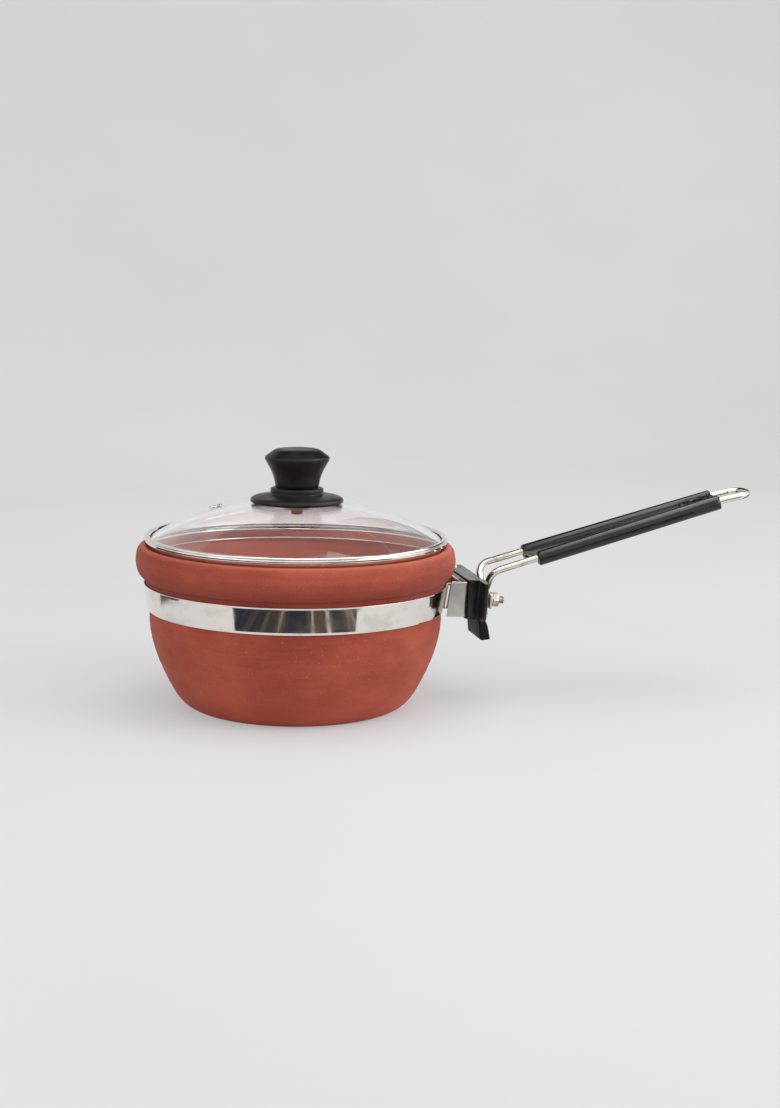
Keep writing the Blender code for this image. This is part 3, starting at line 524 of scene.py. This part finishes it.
# Plan line round the neck with both tabs, carried over the strip's section; the cone fades out along the tabs
def bandSurface(c):
    thick, high, half = c["bandThick"], c["bandHeight"], c["bandThick"] / 2
    middle = c["bandRadius"] + c["flare"] / 2 - half
    ear = c["bracketHalf"] - c["bracketThick"] - gap - half
    leave = math.asin(ear / middle)
    angle = np.linspace(leave, 2 * math.pi - leave, 300)
    circle = middle * np.stack([np.cos(angle), np.sin(angle)], axis=1)
    outer = c["x"] - gap - c["bracketThick"] - gap - half
    inner = outer - thick - gap
    start = bentLine([(outer, -c["tab"]), (outer, ear), circle[0], circle[3]], [c["bandBend"]] * 2, 6)
    finish = bentLine([circle[-4], circle[-1], (inner, -ear), (inner, c["tab"])], [c["bandBend"]] * 2, 6)
    path = evenLine(np.concatenate([start, circle[4:-4], finish]), 2.0)
    outward = -leftOf(alongLine(path))
    section = stripSection(thick, high, c["bandEdge"])
    fade = np.clip((path[:, 0] - circle[0, 0]) / (outer - circle[0, 0]), 0, 1)[:, None]
    widening = (section[None, :, 1] - high / 2) * c["flare"] / high
    cone = unit(path)[:, None] * widening[..., None]
    level = bowl["bandLow"] + section[None, :, 1] + 0 * fade
    tilt = (level - c["z"]) * math.tan(c["lean"]) * fade
    flat = path[:, None] + outward[:, None] * section[None, :, :1] + cone * (1 - fade)[..., None]
    flat[..., 0] += tilt
    return np.concatenate([flat, level[..., None]], axis=-1)


# U line of the bracket; each arm ends on the cone sqrt((band radius + clearance)^2 - side^2)
def bracketSurface(c):
    thick, bend, reach = c["bracketThick"], c["bracketBend"], c["reach"]
    side, web = c["bracketHalf"] - thick / 2, -gap - thick / 2
    plan = evenLine(bentLine([(-reach, -side), (web, -side), (web, side), (-reach, side)], [bend] * 2, 10), 1.2)
    across = -leftOf(alongLine(plan))
    section = stripSection(thick, c["up"] + c["down"], c["bracketEdge"])
    depth = plan[:, None, 0] + across[:, None, 0] * section[None, :, 0]
    place = plan[:, None, 1] + across[:, None, 1] * section[None, :, 0]
    height = section[None, :, 1] - c["down"] + 0 * depth
    radius = c["bandRadius"] + c["bandBend"] + 1 + (c["z"] + height - bowl["bandLow"]) * c["flare"] / c["bandHeight"]
    aside = np.minimum(np.abs(place), c["bracketHalf"] + 0.5)
    end = np.sqrt(radius ** 2 - aside ** 2) - c["x"] - height * math.tan(c["lean"])
    start = web - thick / 2 - bend
    share = np.clip((depth - start) / (-reach - start), 0, 1)
    return clampPlace(depth + share * (end + reach), place, height)


# Plan ring of the guard at each height: block behind, thin wings at both sides, all drawn in at top and bottom
def guardSurface(c):
    t = np.linspace(0, np.pi / 2, 6)
    top, bottom, easing = c["guardUp"], -c["guardDown"], c["round"]
    edge, draw = easing * (1 - np.cos(t)), easing * (1 - np.sin(t))
    between = np.linspace(top - easing, bottom + easing, 34)[1:-1]
    heights = np.concatenate([top - edge, between, (bottom + edge)[::-1]])
    inset = np.concatenate([draw, 0 * between, draw[::-1]])
    near = np.clip(c["wingRound"] - (heights - bottom), 0, c["wingRound"])
    other = c["guardHalf"] - c["wingRound"] + np.sqrt(c["wingRound"] ** 2 - near ** 2)
    one, back, face = 0 * other + c["bracketHalf"], 0 * other, 0 * other + c["guardDepth"]
    wing = face - c["plate"]
    sides = np.stack([-one, -one, -other, -other, other, other, one, one], axis=1)
    depths = np.stack([back, wing, wing, face, face, wing, wing, back], axis=1)
    ring = roundedRing(np.stack([depths, sides], axis=-1), [0.8, 0.6, 0.5, 0.8, 0.8, 0.5, 0.6, 0.8], 4, 6)
    ring = ring - leftOf(alongLine(ring, closed=True)) * inset[:, None, None]
    return clampPlace(ring[..., 0], ring[..., 1], heights[:, None] + 0 * ring[..., 0])


# Side profile of the raised bar that carries the wire and curves out below as a tongue, carried across the guard
def tongueSurface(c):
    face, low, tip = c["guardDepth"], -c["guardDown"], -c["tongueDown"]
    foot = face + c["bossHeight"]
    corners = [(face - 2, c["bossUp"]), (foot, c["bossUp"]), (foot, low), (foot + c["lip"] * 0.55, tip * 0.6),
               (foot + c["lip"], tip + 1.0), (face + 2.8, tip), (face + 0.6, low), (face - 2, low + 1)]
    outline = bentLine(corners, [1.4, 8.0, 12.0, 1.0, 1.4, 2.0], 9)
    grid = plateGrid(evenLine(outline, 1.0)[::-1], -c["bossHalf"], c["bossHalf"], c["tongueEdge"])
    return clampPlace(grid[..., 0], grid[..., 2], grid[..., 1])


# Ring between a round hole and an outline R(v): hole edge, face, outer edge, closed by its mirror image;
# past the radius `start` the face slopes off by the chamfer
def collarGrid(outline, hole, low, high, edge, chamfer=0.0, steps=96, start=1e9):
    v = np.linspace(0, 2 * np.pi, steps, endpoint=False)
    rim = outline(v)
    a = np.linspace(0, np.pi / 2, 5)[:, None]
    share = np.linspace(0, 1, 5)[1:-1, None]
    inner = hole + edge * (1 - np.sin(a[::-1])) + 0 * rim
    face = (hole + edge) * (1 - share) + (rim - edge) * share
    outer = rim - edge * (1 - np.sin(a))
    radius = np.concatenate([inner, face, outer])
    height = np.maximum(radius - start, 0) * chamfer
    height[:5] += edge * (1 - np.cos(a[::-1]))
    height[-5:] += edge * (1 - np.cos(a))
    return np.concatenate([radius, radius[::-1]]), np.concatenate([low + height, high - height[::-1]]), v


# Clamp frame with the bolt as its axis: (height, radius cos v, radius sin v)
def alongBolt(radius, height, v):
    return clampPlace(height, radius * np.cos(v), radius * np.sin(v))


hardware = {
    "boltRadius": 2.5, "hole": 2.8, "headRadius": 5.0, "headHeight": 2.6, "tip": 3.6,
    "nutWidth": 8.0, "nutHeight": 4.0, "washer": 4.6, "washerThick": 1.0,
    "plateHalfWidth": 8.0, "plateHalfHeight": 4.7, "plateThick": 1.5, "pitch": 1.0, "threadDepth": 0.5,
}
wire = {
    "radius": 2.15, "half": 15.1, "tailHalf": 10.2, "drift": 0.5, "tail": 8.2, "nearBolt": 5.05, "legTop": 6.5,
    "shoulder": 4.0, "legBend": 4.0, "shoulderBend": 7.5, "loopBend": 9.0, "tailBend": 2.0, "loopReach": 20.4,
    "slope": math.radians(15.6), "tailSlope": math.radians(11.5), "gripStart": 28.6, "gripLength": 125.3,
}
wireDepth = clamp["guardDepth"] + clamp["bossHeight"] + gap + wire["radius"]
plateFace = wireDepth + wire["radius"] + gap
washerFace = plateFace + hardware["plateThick"] + gap
nutFace = washerFace + hardware["washerThick"] + gap
boltTip = nutFace + hardware["nutHeight"] + hardware["tip"]
headFace = -gap - clamp["bracketThick"] - gap - clamp["bandThick"] * 1.5 - gap - clamp["bandThick"] / 2 - gap


# Radius of a hexagon of width w: w/2 / cos(v wrapped to 60 degrees)
def hexRadius(v):
    return hardware["nutWidth"] / 2 / np.cos((v % (np.pi / 3)) - np.pi / 6)


# Rounded rectangle as a radius: (|cos v / x|^10 + |sin v / y|^10)^(-1/10)
def plateRadius(v):
    x, y = hardware["plateHalfWidth"], hardware["plateHalfHeight"]
    return (np.abs(np.cos(v) / x) ** 10 + np.abs(np.sin(v) / y) ** 10) ** -0.1


# Shank with a helical thread: radius - depth * |saw(height / pitch - v / turn)| near the tip, domed head behind
def boltSurface(h):
    a = np.linspace(np.pi / 2, 0, 14)
    head = np.stack([headFace - h["headHeight"] * np.sin(a), h["headRadius"] * np.cos(a)], axis=1)
    shank = [(headFace, h["boltRadius"]), (nutFace - 1, h["boltRadius"])]
    climb = np.arange(nutFace - 0.9, boltTip - 0.5, 0.09)
    thread = np.stack([climb, 0 * climb + h["boltRadius"]], axis=1)
    end = [(boltTip - 0.4, h["boltRadius"] - 0.1), (boltTip, h["boltRadius"] - 0.7), (boltTip, 0)]
    line = np.concatenate([head, shank, thread, end])
    v = np.linspace(0, 2 * np.pi, 64, endpoint=False)
    height, radius = line[:, :1] + 0 * v, line[:, 1:] + 0 * v
    saw = np.abs(((height / h["pitch"] - v / (2 * np.pi)) % 1) * 2 - 1)
    near = np.clip((height - nutFace + 0.9) / 0.4, 0, 1) * (np.abs(radius - h["boltRadius"] + 0.1) < 0.2)
    return alongBolt(radius - h["threadDepth"] * saw * near, height, v)


meshPiece("steelBand", bandSurface(clamp), polished, "pan", "steel_band", sharp=50)
meshPiece("clampBracket", bracketSurface(clamp), brushed, "pan", "clamp_bracket", sharp=50)
meshPiece("heatGuard", guardSurface(clamp), guardBlack, "pan", "heat_guard", sharp=40)
meshPiece("guardTongue", tongueSurface(clamp), tongueBlack, "pan", "heat_guard", sharp=40)
plate = collarGrid(plateRadius, hardware["hole"], plateFace, plateFace + hardware["plateThick"], 0.35, steps=128)
meshPiece("clampPlate", alongBolt(*plate), brushed, "pan", "wire_clamp_plate", ringRows=True, sharp=50)
washer = collarGrid(lambda v: hardware["washer"] + 0 * v, hardware["hole"], washerFace,
                    washerFace + hardware["washerThick"], 0.15, steps=72)
meshPiece("springWasher", alongBolt(*washer), fastener, "pan", "lock_washer", ringRows=True, sharp=50)
nut = collarGrid(hexRadius, hardware["hole"], nutFace, nutFace + hardware["nutHeight"], 0.12, 0.58, 120, 3.8)
meshPiece("clampNut", alongBolt(*nut), fastener, "pan", "clamp_nut", ringRows=True, sharp=35)
meshPiece("clampBolt", boltSurface(hardware), fastener, "pan", "clamp_bolt", sharp=40)
print("clay pan: band and clamp made")


# Unit direction at an angle above X
def sloping(angle):
    return np.array([math.cos(angle), 0, math.sin(angle)])


# Corners of one leg from its end beside the bolt to the loop's corner
def wireCorners(side):
    shoulder = clampPlace(wireDepth, side, clamp["guardUp"] + wire["shoulder"])
    tail = shoulder + sloping(wire["slope"]) * (wire["gripStart"] + wire["gripLength"] + wire["tailBend"])
    tail[1] = math.copysign(wire["tailHalf"], side) + wire["drift"]
    loop = tail + sloping(wire["tailSlope"]) * (wire["loopReach"] - wire["tailBend"])
    near = math.copysign(wire["nearBolt"], side)
    return [*(clampPlace(wireDepth, near, height) for height in (-wire["tail"], wire["legTop"])), shoulder, tail, loop]


nearLeg, farLeg = wireCorners(-wire["half"]), wireCorners(wire["half"])
bends = [wire["legBend"], wire["shoulderBend"], wire["tailBend"] * 4, wire["loopBend"]]
wireLine = evenLine(bentLine(nearLeg + farLeg[::-1], bends + bends[::-1], 14), 2.0)
meshPiece("handleWire", tubeGrid(wireLine, wire["radius"], 28, np.array([0.707, 0, -0.707]), 0.5),
          nickel, "pan", "handle_wire")

grip = {
    "length": wire["gripLength"], "half": wire["half"], "barrelWide": 4.6, "barrelHigh": 4.5, "drop": 0.5,
    "web": 3.5, "round": 1.4, "tail": 23.0, "tailFlat": 0.68, "hole": 4.6, "holeInset": 12.1, "holeRound": 0.7,
    "corner": 3.0, "skew": 1.4, "tilt": 1.6, "seam": 0.12,
}
shoulderPoint = clampPlace(wireDepth, 0.0, clamp["guardUp"] + wire["shoulder"])
gripOrigin = shoulderPoint + sloping(wire["slope"]) * wire["gripStart"]


# Grip frame to pan frame: X runs along the sloping wires
def gripPlace(x, y, z):
    c, s = math.cos(wire["slope"]), math.sin(wire["slope"])
    return np.stack(np.broadcast_arrays(gripOrigin[0] + x * c - z * s, gripOrigin[1] + y,
                                        gripOrigin[2] + x * s + z * c), axis=-1)


# How far each wire has closed in at a place along the grip, and how far both have drifted: straight lines
def closing(x):
    share = (x + wire["gripStart"]) / (wire["gripStart"] + wire["gripLength"] + wire["tailBend"])
    return (wire["half"] - wire["tailHalf"]) * share, wire["drift"] * share


# Half height of a barrel at a side place: high * sqrt(1 - ((|y| - half) / wide)^2)
def barrelRise(y, half):
    share = np.clip((np.abs(y) - half) / grip["barrelWide"], -1, 1)
    return grip["barrelHigh"] * np.sqrt(1 - share ** 2)


# Section of two barrels and the web between them, closing in with the wires and drawn in at both ends by rounded
# edges; the near barrel starts later by the skew, which fades out over 30 mm
def gripSurface(g):
    rise = g["web"] / 2
    meet = math.degrees(math.asin(rise / g["barrelHigh"]))
    right = arcLine((g["half"], -g["drop"]), (g["barrelWide"], g["barrelHigh"]), -180 + meet, 180 - meet, 44)
    reach = right[0, 0]
    fill = np.linspace(reach, -reach, 14)[1:-1]
    high = np.stack([fill, 0 * fill + rise - g["drop"]], axis=1)
    low = np.stack([-fill, 0 * fill - rise - g["drop"]], axis=1)
    left = np.stack([-right[:, 0], right[:, 1]], axis=1)[::-1]
    section = np.concatenate([right, high, left, low])
    inward = leftOf(alongLine(section, closed=True))
    a, end = np.linspace(0, np.pi / 2, 8), g["length"] - g["tail"]
    inset = np.concatenate([g["round"] * (1 - np.sin(a)), np.zeros(58), [g["seam"], 0.5, 0.6]])
    x = np.concatenate([g["round"] * (1 - np.cos(a)), np.linspace(g["round"], end + 0.6, 59)[1:],
                        [end + 2.6, end + 6, g["length"] - 8]])  # the core runs on inside the tail
    ring = section[None] + inward[None] * inset[:, None, None]
    close, drift = closing(x[:, None])
    y = ring[..., 0] - close * np.clip(ring[..., 0] / reach, -1, 1) + drift
    late = g["skew"] * np.clip(0.5 - y / (2 * g["half"]), 0, 1) * np.clip(1 - x[:, None] / 30, 0, 1)
    return gripPlace(x[:, None] + late, y, ring[..., 1])


# Flat tail: height field over a ring between the hanging hole and the outline, mirrored below the middle. The barrels
# run on at both sides, the plate between them rises from 1.6 mm, and edges and hole are eased by quarter circles
def tailSurface(g):
    start, end, easing, bore = g["length"] - g["tail"], g["length"], g["round"], g["holeRound"]
    startWide, endWide = (g["half"] - closing(x)[0] + g["barrelWide"] for x in (start, end))
    outline = roundedRing([(start, -startWide), (end - g["tilt"], -endWide), (end + g["tilt"], endWide),
                           (start, startWide)], [1.0, g["corner"], g["corner"], 1.0], 12, 40)
    centre = end - g["holeInset"]
    v = np.linspace(-np.pi, np.pi, 240, endpoint=False)
    angle = np.arctan2(outline[:, 1], outline[:, 0] - centre)
    order = np.argsort(angle)
    distance = np.hypot(outline[:, 0] - centre, outline[:, 1])
    rim = np.interp(v, angle[order], distance[order], period=2 * np.pi)
    s = np.concatenate([np.linspace(0, 0.12, 7)[:-1], 1 - (1 - np.linspace(0, 1, 36)) ** 1.8 * 0.88])[:, None]
    radius = g["hole"] + (rim - g["hole"]) * s
    x, y = centre + radius * np.cos(v), radius * np.sin(v)
    close, drift = closing(x)
    half, flat = g["half"] - close, g["barrelHigh"] * g["tailFlat"]
    barrel = np.maximum(barrelRise(y, half), flat * (np.abs(y) < half))
    rise = np.where(np.abs(y) > half - g["barrelWide"] * 0.6, barrel, flat)
    fromEdge = np.clip(easing * (1 - (rim - radius) / easing), 0, easing)
    rise = rise - (easing - np.sqrt(easing ** 2 - fromEdge ** 2)) * (x > start + 2)
    ramp, sink = np.clip((x - start - 0.6) / 1.4, 0, 1), g["seam"] * (1 - np.clip((x - start) / 2.0, 0, 1))
    between = np.clip((half - 4.2 - np.abs(y)) / 0.8, 0, 1)
    rise = rise - (flat - 1.6) * (1 - ramp) * between - sink * (1 - between)
    fromHole = np.clip(bore - (radius - g["hole"]), 0, bore)
    rise = np.maximum(rise - (bore - np.sqrt(bore ** 2 - fromHole ** 2)), 0.12)
    x, y = np.concatenate([x, x[::-1]]), np.concatenate([y + drift, (y + drift)[::-1]])
    return gripPlace(x, y, np.concatenate([rise, -rise[::-1]]) - g["drop"])


meshPiece("handleGrip", gripSurface(grip), gripBlack, "pan", "handle_grip", sharp=45)
meshPiece("gripTail", tailSurface(grip), gripBlack, "pan", "handle_grip", ringRows=True, sharp=45)
print("clay pan: handle made")


lid = {
    "radius": 90.0, "glass": 87.8, "top": 123.0, "thick": 3.6, "drop": 22.5, "power": 2.3, "hole": 3.5, "edge": 1.2,
    "sheet": 0.45, "bottom": 95.1, "ringTop": 102.7, "beadLow": 98.9, "overhang": 1.3, "lipReach": 0.9,
    "spigot": 85.9, "spigotLow": 90.0, "steps": 256,
}


# Height of the glass: top - drop * (radius / edge)^power
def domeHeight(radius):
    return lid["top"] - lid["drop"] * (radius / lid["glass"]) ** lid["power"]


# Outer and inner dome turned about Z, joined by a rounded edge
def glassSurface(g):
    a = np.linspace(0, np.pi / 2, 7)[1:]
    flat = np.linspace(g["hole"], g["glass"] - g["edge"], 62)
    radius = np.concatenate([flat, g["glass"] - g["edge"] + g["edge"] * np.sin(a)])
    fall = np.concatenate([0 * flat, 0.9 * (1 - np.cos(a))])
    outer, inner = domeHeight(radius) - fall, domeHeight(radius) - g["thick"] + fall
    return turnedGrid(np.concatenate([np.stack([radius, outer], 1), np.stack([radius, inner], 1)[::-1]]), g["steps"])


# Sheet path, thickened to both sides and turned about Z: lip on the glass, roll over its edge, crease, side face,
# seat, spigot down to a bead and back up under the glass
def ringSurface(g):
    half, top, low = g["sheet"] / 2, g["ringTop"], g["spigotLow"]
    lip, out = g["glass"] - g["lipReach"], g["radius"] - half
    under = domeHeight(g["glass"]) - g["thick"] - 2 * gap - half
    step, seat, spigot = g["radius"] - g["overhang"] - half, g["radius"] - 2.2, g["spigot"] - half
    bead, base = g["beadLow"] + half, g["bottom"] + half
    corners = [(lip, domeHeight(lip) + gap + half), (lip + 0.7, top - half), (out, top - half), (out, top - 1.2),
               (out - 0.5, top - 1.5), (out - 0.05, top - 1.75), (out - 0.15, bead), (step, bead), (seat, base),
               (spigot, base), (spigot, low + half), (spigot - 1.3, low + half), (spigot - 1.3, low + 0.9),
               (spigot - 0.8, low + 1.2), (spigot - 0.8, under), (lip - 4, under + 1.2)]
    bends = [0.6, 0.8, 0.25, 0.2, 0.25, 0.5, 0.3, 0.3, 0.5, 0.5, 0.35, 0.3, 0.3, 0.3]
    path = evenLine(bentLine(corners, bends, 7), 0.5)
    return turnedGrid(np.concatenate([besideLine(path, half), besideLine(path, -half)[::-1]]), g["steps"])


meshPiece("lidGlass", glassSurface(lid), glass, "lid", "lid_glass", ringRows=True)
meshPiece("lidRim", ringSurface(lid), polished, "lid", "lid_rim", ringRows=True, sharp=60)

vent = {"x": -45.5, "y": 25.7, "bore": 1.6, "tube": 0.8, "flange": 4.2, "round": 0.7, "high": 0.8, "deep": 3.9}


# Small turned eyelet, leaned by the glass's slope there and moved out to its place
def ventSurface(n):
    tube, easing = n["bore"] + n["tube"], n["round"]
    line = np.concatenate([[(n["bore"], gap + n["high"])],
                           arcLine((n["flange"] - easing, gap), (easing, n["high"]), 90, 0, 6),
                           [(tube, gap - 0.02), (tube, -n["deep"]), (n["bore"], -n["deep"])]])
    grid = turnedGrid(line, 48)
    radius, turn = math.hypot(n["x"], n["y"]), math.atan2(n["y"], n["x"])
    slope = math.atan(lid["drop"] * lid["power"] / lid["glass"] * (radius / lid["glass"]) ** (lid["power"] - 1))
    x = grid[..., 0] * math.cos(slope) + grid[..., 2] * math.sin(slope)
    y = grid[..., 1]
    z = grid[..., 2] * math.cos(slope) - grid[..., 0] * math.sin(slope)
    return np.stack([x * math.cos(turn) - y * math.sin(turn) + n["x"],
                     x * math.sin(turn) + y * math.cos(turn) + n["y"], z + domeHeight(radius)], axis=-1)


meshPiece("ventEyelet", ventSurface(vent), polished, "lid", "vent_eyelet", ringRows=True, sharp=60)

knob = {
    "base": 27.9, "baseEdge": 2.6, "collar": 15.8, "collarTop": 7.9, "flangeTop": 4.2, "waist": 13.2, "bore": 2.3,
    "high": 23.0, "radius": 19.6, "chamfer": 5.6, "flat": 12.2, "gasket": 11.0, "gasketThick": 0.8, "steps": 160,
}


# Dished flange from the collar over a bead to its thin edge, and back under as a hollow
def knobBaseSurface(k):
    base, bore, high = k["base"], k["bore"], lid["top"] + k["collarTop"]
    out = base - 1.4
    edge, flange = domeHeight(out) + gap, lid["top"] + k["flangeTop"]
    dish = lid["top"] + gap + k["gasketThick"] + gap
    collar = bentLine([(bore, high), (k["collar"], high), (k["collar"], flange + 0.1), (base - 5, flange - 1.1)],
                      [1.3, 0.7], 7)
    nose = pulledCurve(collar[-1], (base - 1.2, flange - 1.6), (base + 0.2, edge + k["baseEdge"]),
                       (base - 0.2, edge + k["baseEdge"] * 0.3), 14)
    under = bentLine([nose[-1], (out, edge), (out - 1.6, edge + 0.5), (k["gasket"] + 1.2, dish), (bore, dish)],
                     [0.4, 0.4, 0.5], 4)
    return turnedGrid(evenLine(np.concatenate([collar, nose[1:], under[1:]]), 0.8), k["steps"])


# Waisted knob: flat top, broad chamfer, flare down to the waist, all corners eased
def knobSurface(k):
    low, waist, flat = lid["top"] + k["collarTop"] + gap, k["waist"], k["flat"]
    top = low + k["high"]
    widest = top - k["chamfer"]
    flare = pulledCurve((k["radius"], widest), (waist + 4.2, widest - 4.8), (waist + 0.9, low + 9),
                        (waist, low + 1.8), 22)
    crown = bentLine([(0, top), (flat - 3, top - 0.02), (flat + 1.0, top - k["chamfer"] * 0.1),
                      (k["radius"], widest + 0.4), flare[2]], [9.0, 6.0, 1.8], 9)
    foot = bentLine([flare[-1], (waist - 0.6, low), (0, low)], [0.5], 4)
    return turnedGrid(evenLine(np.concatenate([crown, flare[3:-1], foot]), 0.8), k["steps"])


meshPiece("knobBase", knobBaseSurface(knob), moulded, "lid", "knob_base", ringRows=True, sharp=50)
meshPiece("knobTop", knobSurface(knob), moulded, "lid", "knob", sharp=50)
print("clay pan: lid made")

for node, finish in (("knob_insert", brass), ("knob_gasket", rubber), ("under_gasket", rubber),
                     ("screw_washer", fastener), ("knob_screw", fastener)):
    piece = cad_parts[node]
    piece.data.materials.clear()
    piece.data.materials.append(finish[0])


studio = {
    "floor": (0.76, 0.76, 0.765), "paper": (0.80, 0.80, 0.805), "throughGlass": (0.93, 0.92, 0.92),
    "glow": 0.45,  # share of the paper's own white that camera and reflections see
    "start": 1.0, "radius": 1.2, "top": 4.0, "half": 6.0,
    "world": 0.62,
    "cardDark": (0.03, 0.035, 0.05), "cardWarm": (0.12, 0.09, 0.06), "cardStreak": (0.75, 0.72, 0.68),
    # glow of the card that paints a highlight along the grip
    "strip": (1.0, 0.98, 0.97, 1.0), "stripLight": 3.0,
}


# Floor that bends up behind the pan: straight, quarter circle, straight, carried sideways
def sweepSurface(s):
    arc = arcLine((s["start"], s["radius"]), (s["radius"], s["radius"]), -90, 0, 24)
    line = np.concatenate([[(-s["half"], 0)], arc, [(s["start"] + s["radius"], s["top"])]])
    x = np.array([-s["half"], s["half"]]) + 0 * line[:, :1]
    return np.stack([x, line[:, :1] + 0 * x, line[:, 1:] + 0 * x], axis=-1)


# Open sheet of a grid's quads in metres, no part of the pan
def studioSheet(name, grid, finish):
    rows, columns = grid.shape[:2]
    index = np.arange(rows * columns).reshape(rows, columns)
    quads = np.stack([index[:-1, :-1], index[:-1, 1:], index[1:, 1:], index[1:, :-1]], axis=-1)
    data = bpy.data.meshes.new(name)
    data.from_pydata(grid.reshape(-1, 3).tolist(), [], quads.reshape(-1, 4).tolist())
    data.shade_smooth()
    data.materials.append(finish)
    made = placed(name, data)
    return made


# 1 for a camera, glossy or transmission ray, 0 for the rest
def seenRay(tree):
    path = newNode(tree, "LightPath")
    either = combined("MAXIMUM", path.outputs["Is Camera Ray"], path.outputs["Is Glossy Ray"])
    return combined("MAXIMUM", either, path.outputs["Is Transmission Ray"])


# Matt paper that glows by itself for the camera, for reflections and fully through glass, never onto the pan
def paperFinish(s):
    finish, tree, shader = newFinish("studioPaper", Roughness=0.9, Specular_IOR_Level=0.0)
    colour = mixedColour(noiseField(tree, 1.2), s["floor"], s["paper"], 0, 1)
    join(colour, shader.inputs["Base Color"])
    light, through = newNode(tree, "Emission"), newNode(tree, "LightPath").outputs["Is Transmission Ray"]
    join(mixedColour(through, colour, s["throughGlass"]), light.inputs["Color"])
    share = combined("MAXIMUM", combined("MULTIPLY", seenRay(tree), s["glow"]), through)
    chosenShader(share, shader.outputs["BSDF"], light.outputs["Emission"])
    return finish


studioSheet("studioFloor", sweepSurface(studio), paperFinish(studio))

world = bpy.data.worlds.new("studioAir")
bpy.context.scene.world = world
world.use_nodes = True
airTree = world.node_tree
air, seenAir = airTree.nodes["Background"], newNode(airTree, "Background")
for node, strength in ((air, studio["world"]), (seenAir, 1.0)):
    setSockets(node, Color=(1.0, 1.0, 1.0, 1.0), Strength=strength)
chosenShader(seenRay(airTree), air.outputs["Background"], seenAir.outputs["Background"], "World Output")


# Lamp turned about X and Z so that it shines from its place to the target
def softLamp(name, place, target, size, power):
    data = bpy.data.lights.new(name, "AREA")
    data.shape = "RECTANGLE"
    data.size, data.size_y = size
    data.energy = power
    away = np.array(place, float) - np.array(target, float)
    lamp = placed(name, data)
    lamp.location = place
    lamp.rotation_euler = (math.atan2(math.hypot(away[0], away[1]), away[2]), 0, math.atan2(away[0], -away[1]))


softLamp("topLamp", (0.1, -0.1, 1.5), (0.05, 0, 0.05), (1.4, 1.2), 6.5)
softLamp("leftLamp", (-1.3, -0.7, 0.8), (0.05, 0, 0.05), (0.9, 1.1), 1.5)
softLamp("rightLamp", (1.4, -0.8, 0.9), (0.1, 0, 0.05), (0.9, 1.1), 10)

# Cards seen by reflections alone: turn from and to in degrees, reach in mm, height in mm, spread of the far edge
cards = {
    "front": ((-136, -63), (184, 275), 2, 4),
    "right": ((7, 31), (250, 330)),
    "left": ((153, 176), (252, 330)),
    "far": ((-223, -30), (405, 2000)),
    "side": ((6, 50), (405, 800)),
    "under": ((-8, 14), (96, 185)),
    "above": ((-10, 190), (1, 140), 250),
    "knob": ((-170, -10), (1, 40), 250),
    "beyond": ((21, 62), (145, 650), 250),
    "strip": ((-18, 19), (160, 345), 250),  # the one glowing card, over the grip: a painted highlight, seen only in reflections
}


# Sector of a ring: (reach cos turn, reach sin turn, height)
def cardSurface(turns, reach, height=2, spread=0):
    share = np.linspace(0, 1, 25)[:, None]
    v = np.radians(turns[0] + (turns[1] - turns[0]) * share + np.array([0, spread]) * (2 * share - 1))
    radius = np.array(reach) * mm
    return np.stack([radius * np.cos(v), radius * np.sin(v), height * mm + 0 * v], axis=-1)


# Dark paper with warm patches and pale streaks, as the room shows in the steel
def cardFinish(s):
    finish, tree, shader = newFinish("studioCard", Roughness=0.9, Specular_IOR_Level=0.0)
    streak = noiseField(tree, 36.0, (1, 0.05, 1), 3.0, 0.6)
    colour = mixedColour(streak, s["cardDark"], s["cardWarm"], 0, 1, 0.45, 0.62)
    colour = mixedColour(streak, colour, s["cardStreak"], 0, 0.8, 0.62, 0.70)
    join(colour, shader.inputs["Base Color"])
    return finish


roomCard = cardFinish(studio)
# painted highlight: a glowing card that is no lamp, seen only in reflections
brightCard = newFinish("studioStrip", Emission_Color=studio["strip"], Emission_Strength=studio["stripLight"])[0]
for name, card in cards.items():
    made = studioSheet(name + "Card", cardSurface(*card), brightCard if name == "strip" else roomCard)
    for ray in ("camera", "diffuse", "transmission", "shadow", "volume_scatter"):
        setattr(made, "visible_" + ray, False)

view = {"place": (-0.17077, -1.04011, 0.26106), "yaw": 12.37, "pitch": 9.146, "roll": 1.0, "lens": 57.83}


# Camera axes from yaw, pitch and roll, as the columns right, up, back
def cameraTurn(v):
    yaw, pitch, roll = (math.radians(v[k]) for k in ("yaw", "pitch", "roll"))
    ahead = np.array([math.sin(yaw) * math.cos(pitch), math.cos(yaw) * math.cos(pitch), -math.sin(pitch)])
    right = np.array([math.cos(yaw), -math.sin(yaw), 0])
    up = np.cross(right, ahead)
    turned = right * math.cos(roll) + up * math.sin(roll)
    above = up * math.cos(roll) - right * math.sin(roll)
    return np.stack([turned, above, -ahead], axis=1)


cameraData = bpy.data.cameras.new("photoCamera")
cameraData.lens = view["lens"]
cameraData.sensor_width = 36.0
camera = placed("photoCamera", cameraData)
matrix = np.eye(4)
matrix[:3, :3] = cameraTurn(view)
matrix[:3, 3] = view["place"]
camera.matrix_world = Matrix(matrix.tolist())
bpy.context.scene.camera = camera
bpy.context.scene.view_settings.view_transform = "Standard"
print("clay pan: studio and camera set")
